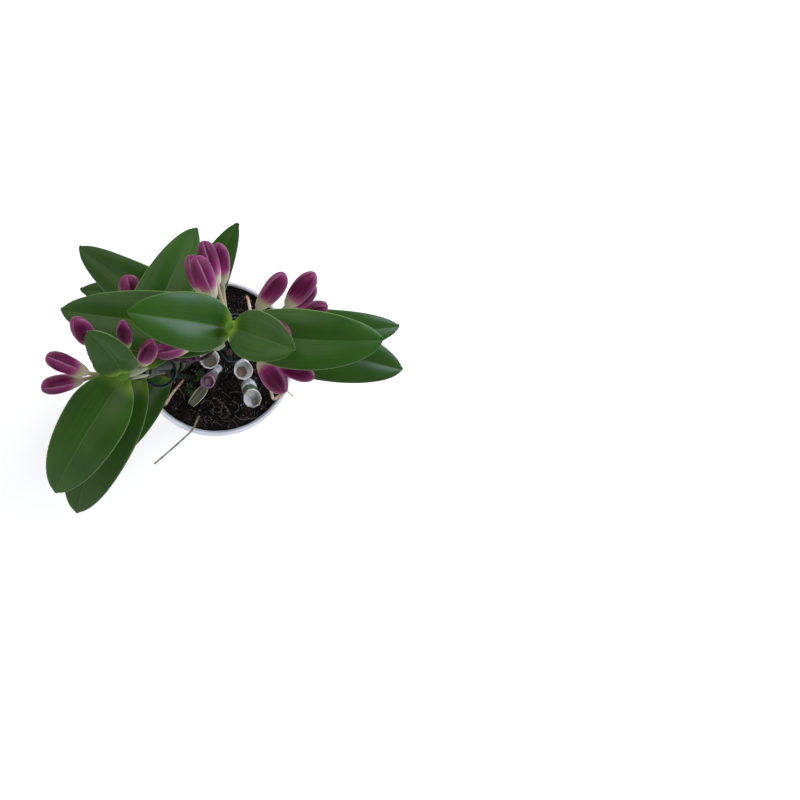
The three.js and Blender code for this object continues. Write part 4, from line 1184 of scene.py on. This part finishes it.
ROOTS = {
    # radii of the two ends, finish, knots
    "1": ((0.8, 1), "dry_velamen", [(-24.5, -16.5, 101), (-26.5, -19, 107), (-33, -26.8, 110.5),
                                    (-37.5, -34, 108), (-39, -36, 103)]),
    "2": ((1.3, 1), "dry_velamen", [(41, -20, 101), (41.4, -24, 107), (43.3, -31.3, 107.8),
                                    (46.5, -30.2, 110), (50.2, -27.6, 112.6)]),
    "3": ((0.9, 0.6), "weathered_velamen", [(-13, -44, 101), (-14.5, -47, 106), (-16, -50.5, 111),
                                            (-19.5, -56.2, 112.4), (-32.3, -68, 110), (-47.3, -81.1, 104)]),
    "4": ((1.3, 1), "dry_velamen", [(25.5, 30, 101), (26, 35, 106), (25, 41.5, 107.5), (23.8, 46, 106),
                                    (23.5, 47.5, 102)]),
    "5": ((0.9, 0.6), "dry_velamen", [(45, -18.5, 101), (47.5, -20.5, 107), (50.3, -22.5, 111.2),
                                      (53.5, -25, 112.2), (58.3, -29.3, 111.5)]),
}
ROOTLETS = [
    [(-12, -36, 104), (-9, -33, 105.4), (-4, -33.5, 105.6), (-2, -37.5, 105.4), (-5, -41, 104.5)],
    [(1, -33, 104), (4.5, -36.5, 105.6), (3, -41, 105.8), (-1.5, -41.5, 105.2), (-2.5, -38, 104.5)],
    [(3, -37, 104.2), (8, -38.5, 105.8), (9.5, -43, 105.6), (6, -46.5, 105.2), (2, -45, 104.5)],
    [(12, -33, 104.2), (16, -35, 105.6), (17, -39.5, 105.4), (13.5, -42, 104.6)],
    [(-3, -30, 104), (2, -32.5, 106), (7, -37, 105.5), (9, -42, 104)],
    [(-2, -44, 104), (-3.5, -40.5, 105.5), (0, -37.5, 106), (4, -40, 105.5), (3.5, -44.5, 104.5)],
    [(-8, -50, 104), (-9, -46, 105.5), (-6, -44.5, 106), (-4, -47.5, 105)],
    [(14, -44, 104), (17, -46.5, 105.8), (22, -47.5, 106), (27, -46, 105)],
    [(10, -27, 104), (15, -26, 105.6), (21, -27, 105)],
    [(-30, -22, 104), (-26, -27, 106), (-24, -33, 105)],
]
ROOTLET_RADII = (0.36, 0.24)
WRINKLE_SCALE = 420.0

# Rooting: a round strand along a curve, thick as the curve's radius, wrinkled by noise.
rooting, given = start_tree("rooting", Line=["Geometry"], Sides=["Int", 12], Wrinkle=["Float", 0.0003])
profile = add(rooting, "GeometryNodeCurvePrimitiveCircle", {"Resolution": given["Sides"], "Radius": 1.0})
round_strand = add(rooting, "GeometryNodeCurveToMesh",
                   {"Curve": given["Line"], "Profile Curve": profile,
                    "Scale": add(rooting, "GeometryNodeInputRadius"), "Fill Caps": True})
rough = add(rooting, "Math SUBTRACT", add(rooting, "TexNoise", {"Scale": WRINKLE_SCALE, "Detail": 2.0}), 0.5)
rough = add(rooting, "Math MULTIPLY", rough, given["Wrinkle"])
push = add(rooting, "VectorMath SCALE", {0: add(rooting, "GeometryNodeInputNormal"), 3: rough})
wrinkled = add(rooting, "GeometryNodeSetPosition", {"Geometry": round_strand, "Offset": push})
end_tree(rooting, given, add(rooting, "GeometryNodeSetShadeSmooth", wrinkled))

# Velamen is matt, with brown wrinkles: papery white to salmon tan where it is dry,
# grey-green where it has weathered, and grey-brown on the rootlets.
velamens = {
    name: blotched(name, (260, 4, 0.65), list(zip((0.3, 0.45, 0.6, 0.75), codes)), 0.7, 0.3, Roughness=0.8)
    for name, codes in (("dry_velamen", ("#8a6b50", "#b8967a", "#d3bca4", "#e4ddd0")),
                        ("weathered_velamen", ("#42402c", "#6f6d52", "#8f8d76", "#b5b3a0")),
                        ("dark_velamen", ("#2c2622", "#473f38", "#665c53", "#8a8075")))}
# Name, node, radii, knots, steps between knots, sides, depth of the wrinkles, finish.
strands = [("aerial_root_" + name, "root_" + name, radii, knots, 12, 14, 0.0005, coat)
           for name, (radii, coat, knots) in ROOTS.items()]
strands += [("rootlet_%d" % (number + 1), "potting_mix", ROOTLET_RADII, knots, 10, 6, 0.0002, "dark_velamen")
            for number, knots in enumerate(ROOTLETS)]
for name, node, radii, knots, steps, sides, wrinkle, coat in strands:
    line = smooth_path(knots, steps)
    mesh = grow_along(line, np.linspace(*radii, len(line)), rooting, name, Sides=sides, Wrinkle=wrinkle,
                      Finish=velamens[coat])
    piece(mesh, None, "dry_root", node)
for helper in HELPERS:
    bpy.data.objects.remove(helper)

# Studio
# A plain white table, lit a little from below, in a bright white tent that is darker
# overhead, with one window and a soft key light, and colours shown as they are.

FLOOR_HALF = 4
FLOOR_DROP = -0.0005
TENT_STRENGTH = 0.97
LAMP_TARGET = Vector((0, 0, 0.25))
LAMPS = {
    # place, power, size, colour
    "key": ((-0.7, 0.7, 1.9), 12, 1.6, "#fff8f0"),
    "window": ((1.33, 0.8, 1.1), 33, 1.15, "#d6e0ff"),
}
floor_mesh = bpy.data.meshes.new("floor")
corners = [(x * FLOOR_HALF, y * FLOOR_HALF, FLOOR_DROP) for x, y in ((-1, -1), (1, -1), (1, 1), (-1, 1))]
floor_mesh.from_pydata(corners, [], [(0, 1, 2, 3)])

# Matt acrylic: plain white with a fine tooth, and a little light of its own.
acrylic, tree, tooth = texture("matt_white_acrylic", (900, 2, 0.5))
floor_mesh.materials.append(finish(acrylic, "#fafafa", tooth, 0.05, 0.1, Roughness=0.9,
                                   Emission_Color="#ffffff", Emission_Strength=0.2))
put("floor", floor_mesh)

bpy.context.scene.view_settings.view_transform = "Standard"
world = bpy.data.worlds.new("studio")
world.use_nodes = True
tree = world.node_tree
ray = add(tree, "TexCoord").outputs["Generated"]
tent = add(tree, "ValToRGB", add(tree, "SeparateXYZ", ray).outputs["Z"],
           stops=[(0, "#ffffff"), (0.5, "#ffffff"), (0.78, "#8a8f96"), (1, "#7b8087")])
plug(tree, tent, tree.nodes["Background"].inputs["Color"])
plug(tree, TENT_STRENGTH, tree.nodes["Background"].inputs["Strength"])
bpy.context.scene.world = world
for name, (place, power, size, code) in LAMPS.items():
    light = bpy.data.lights.new(name, "AREA")
    light.energy = power
    light.size = size
    light.color = linear(code)[:3]
    lamp = put(name, light)
    lamp.location = place
    lamp.rotation_euler = (LAMP_TARGET - Vector(place)).to_track_quat("-Z", "Y").to_euler()
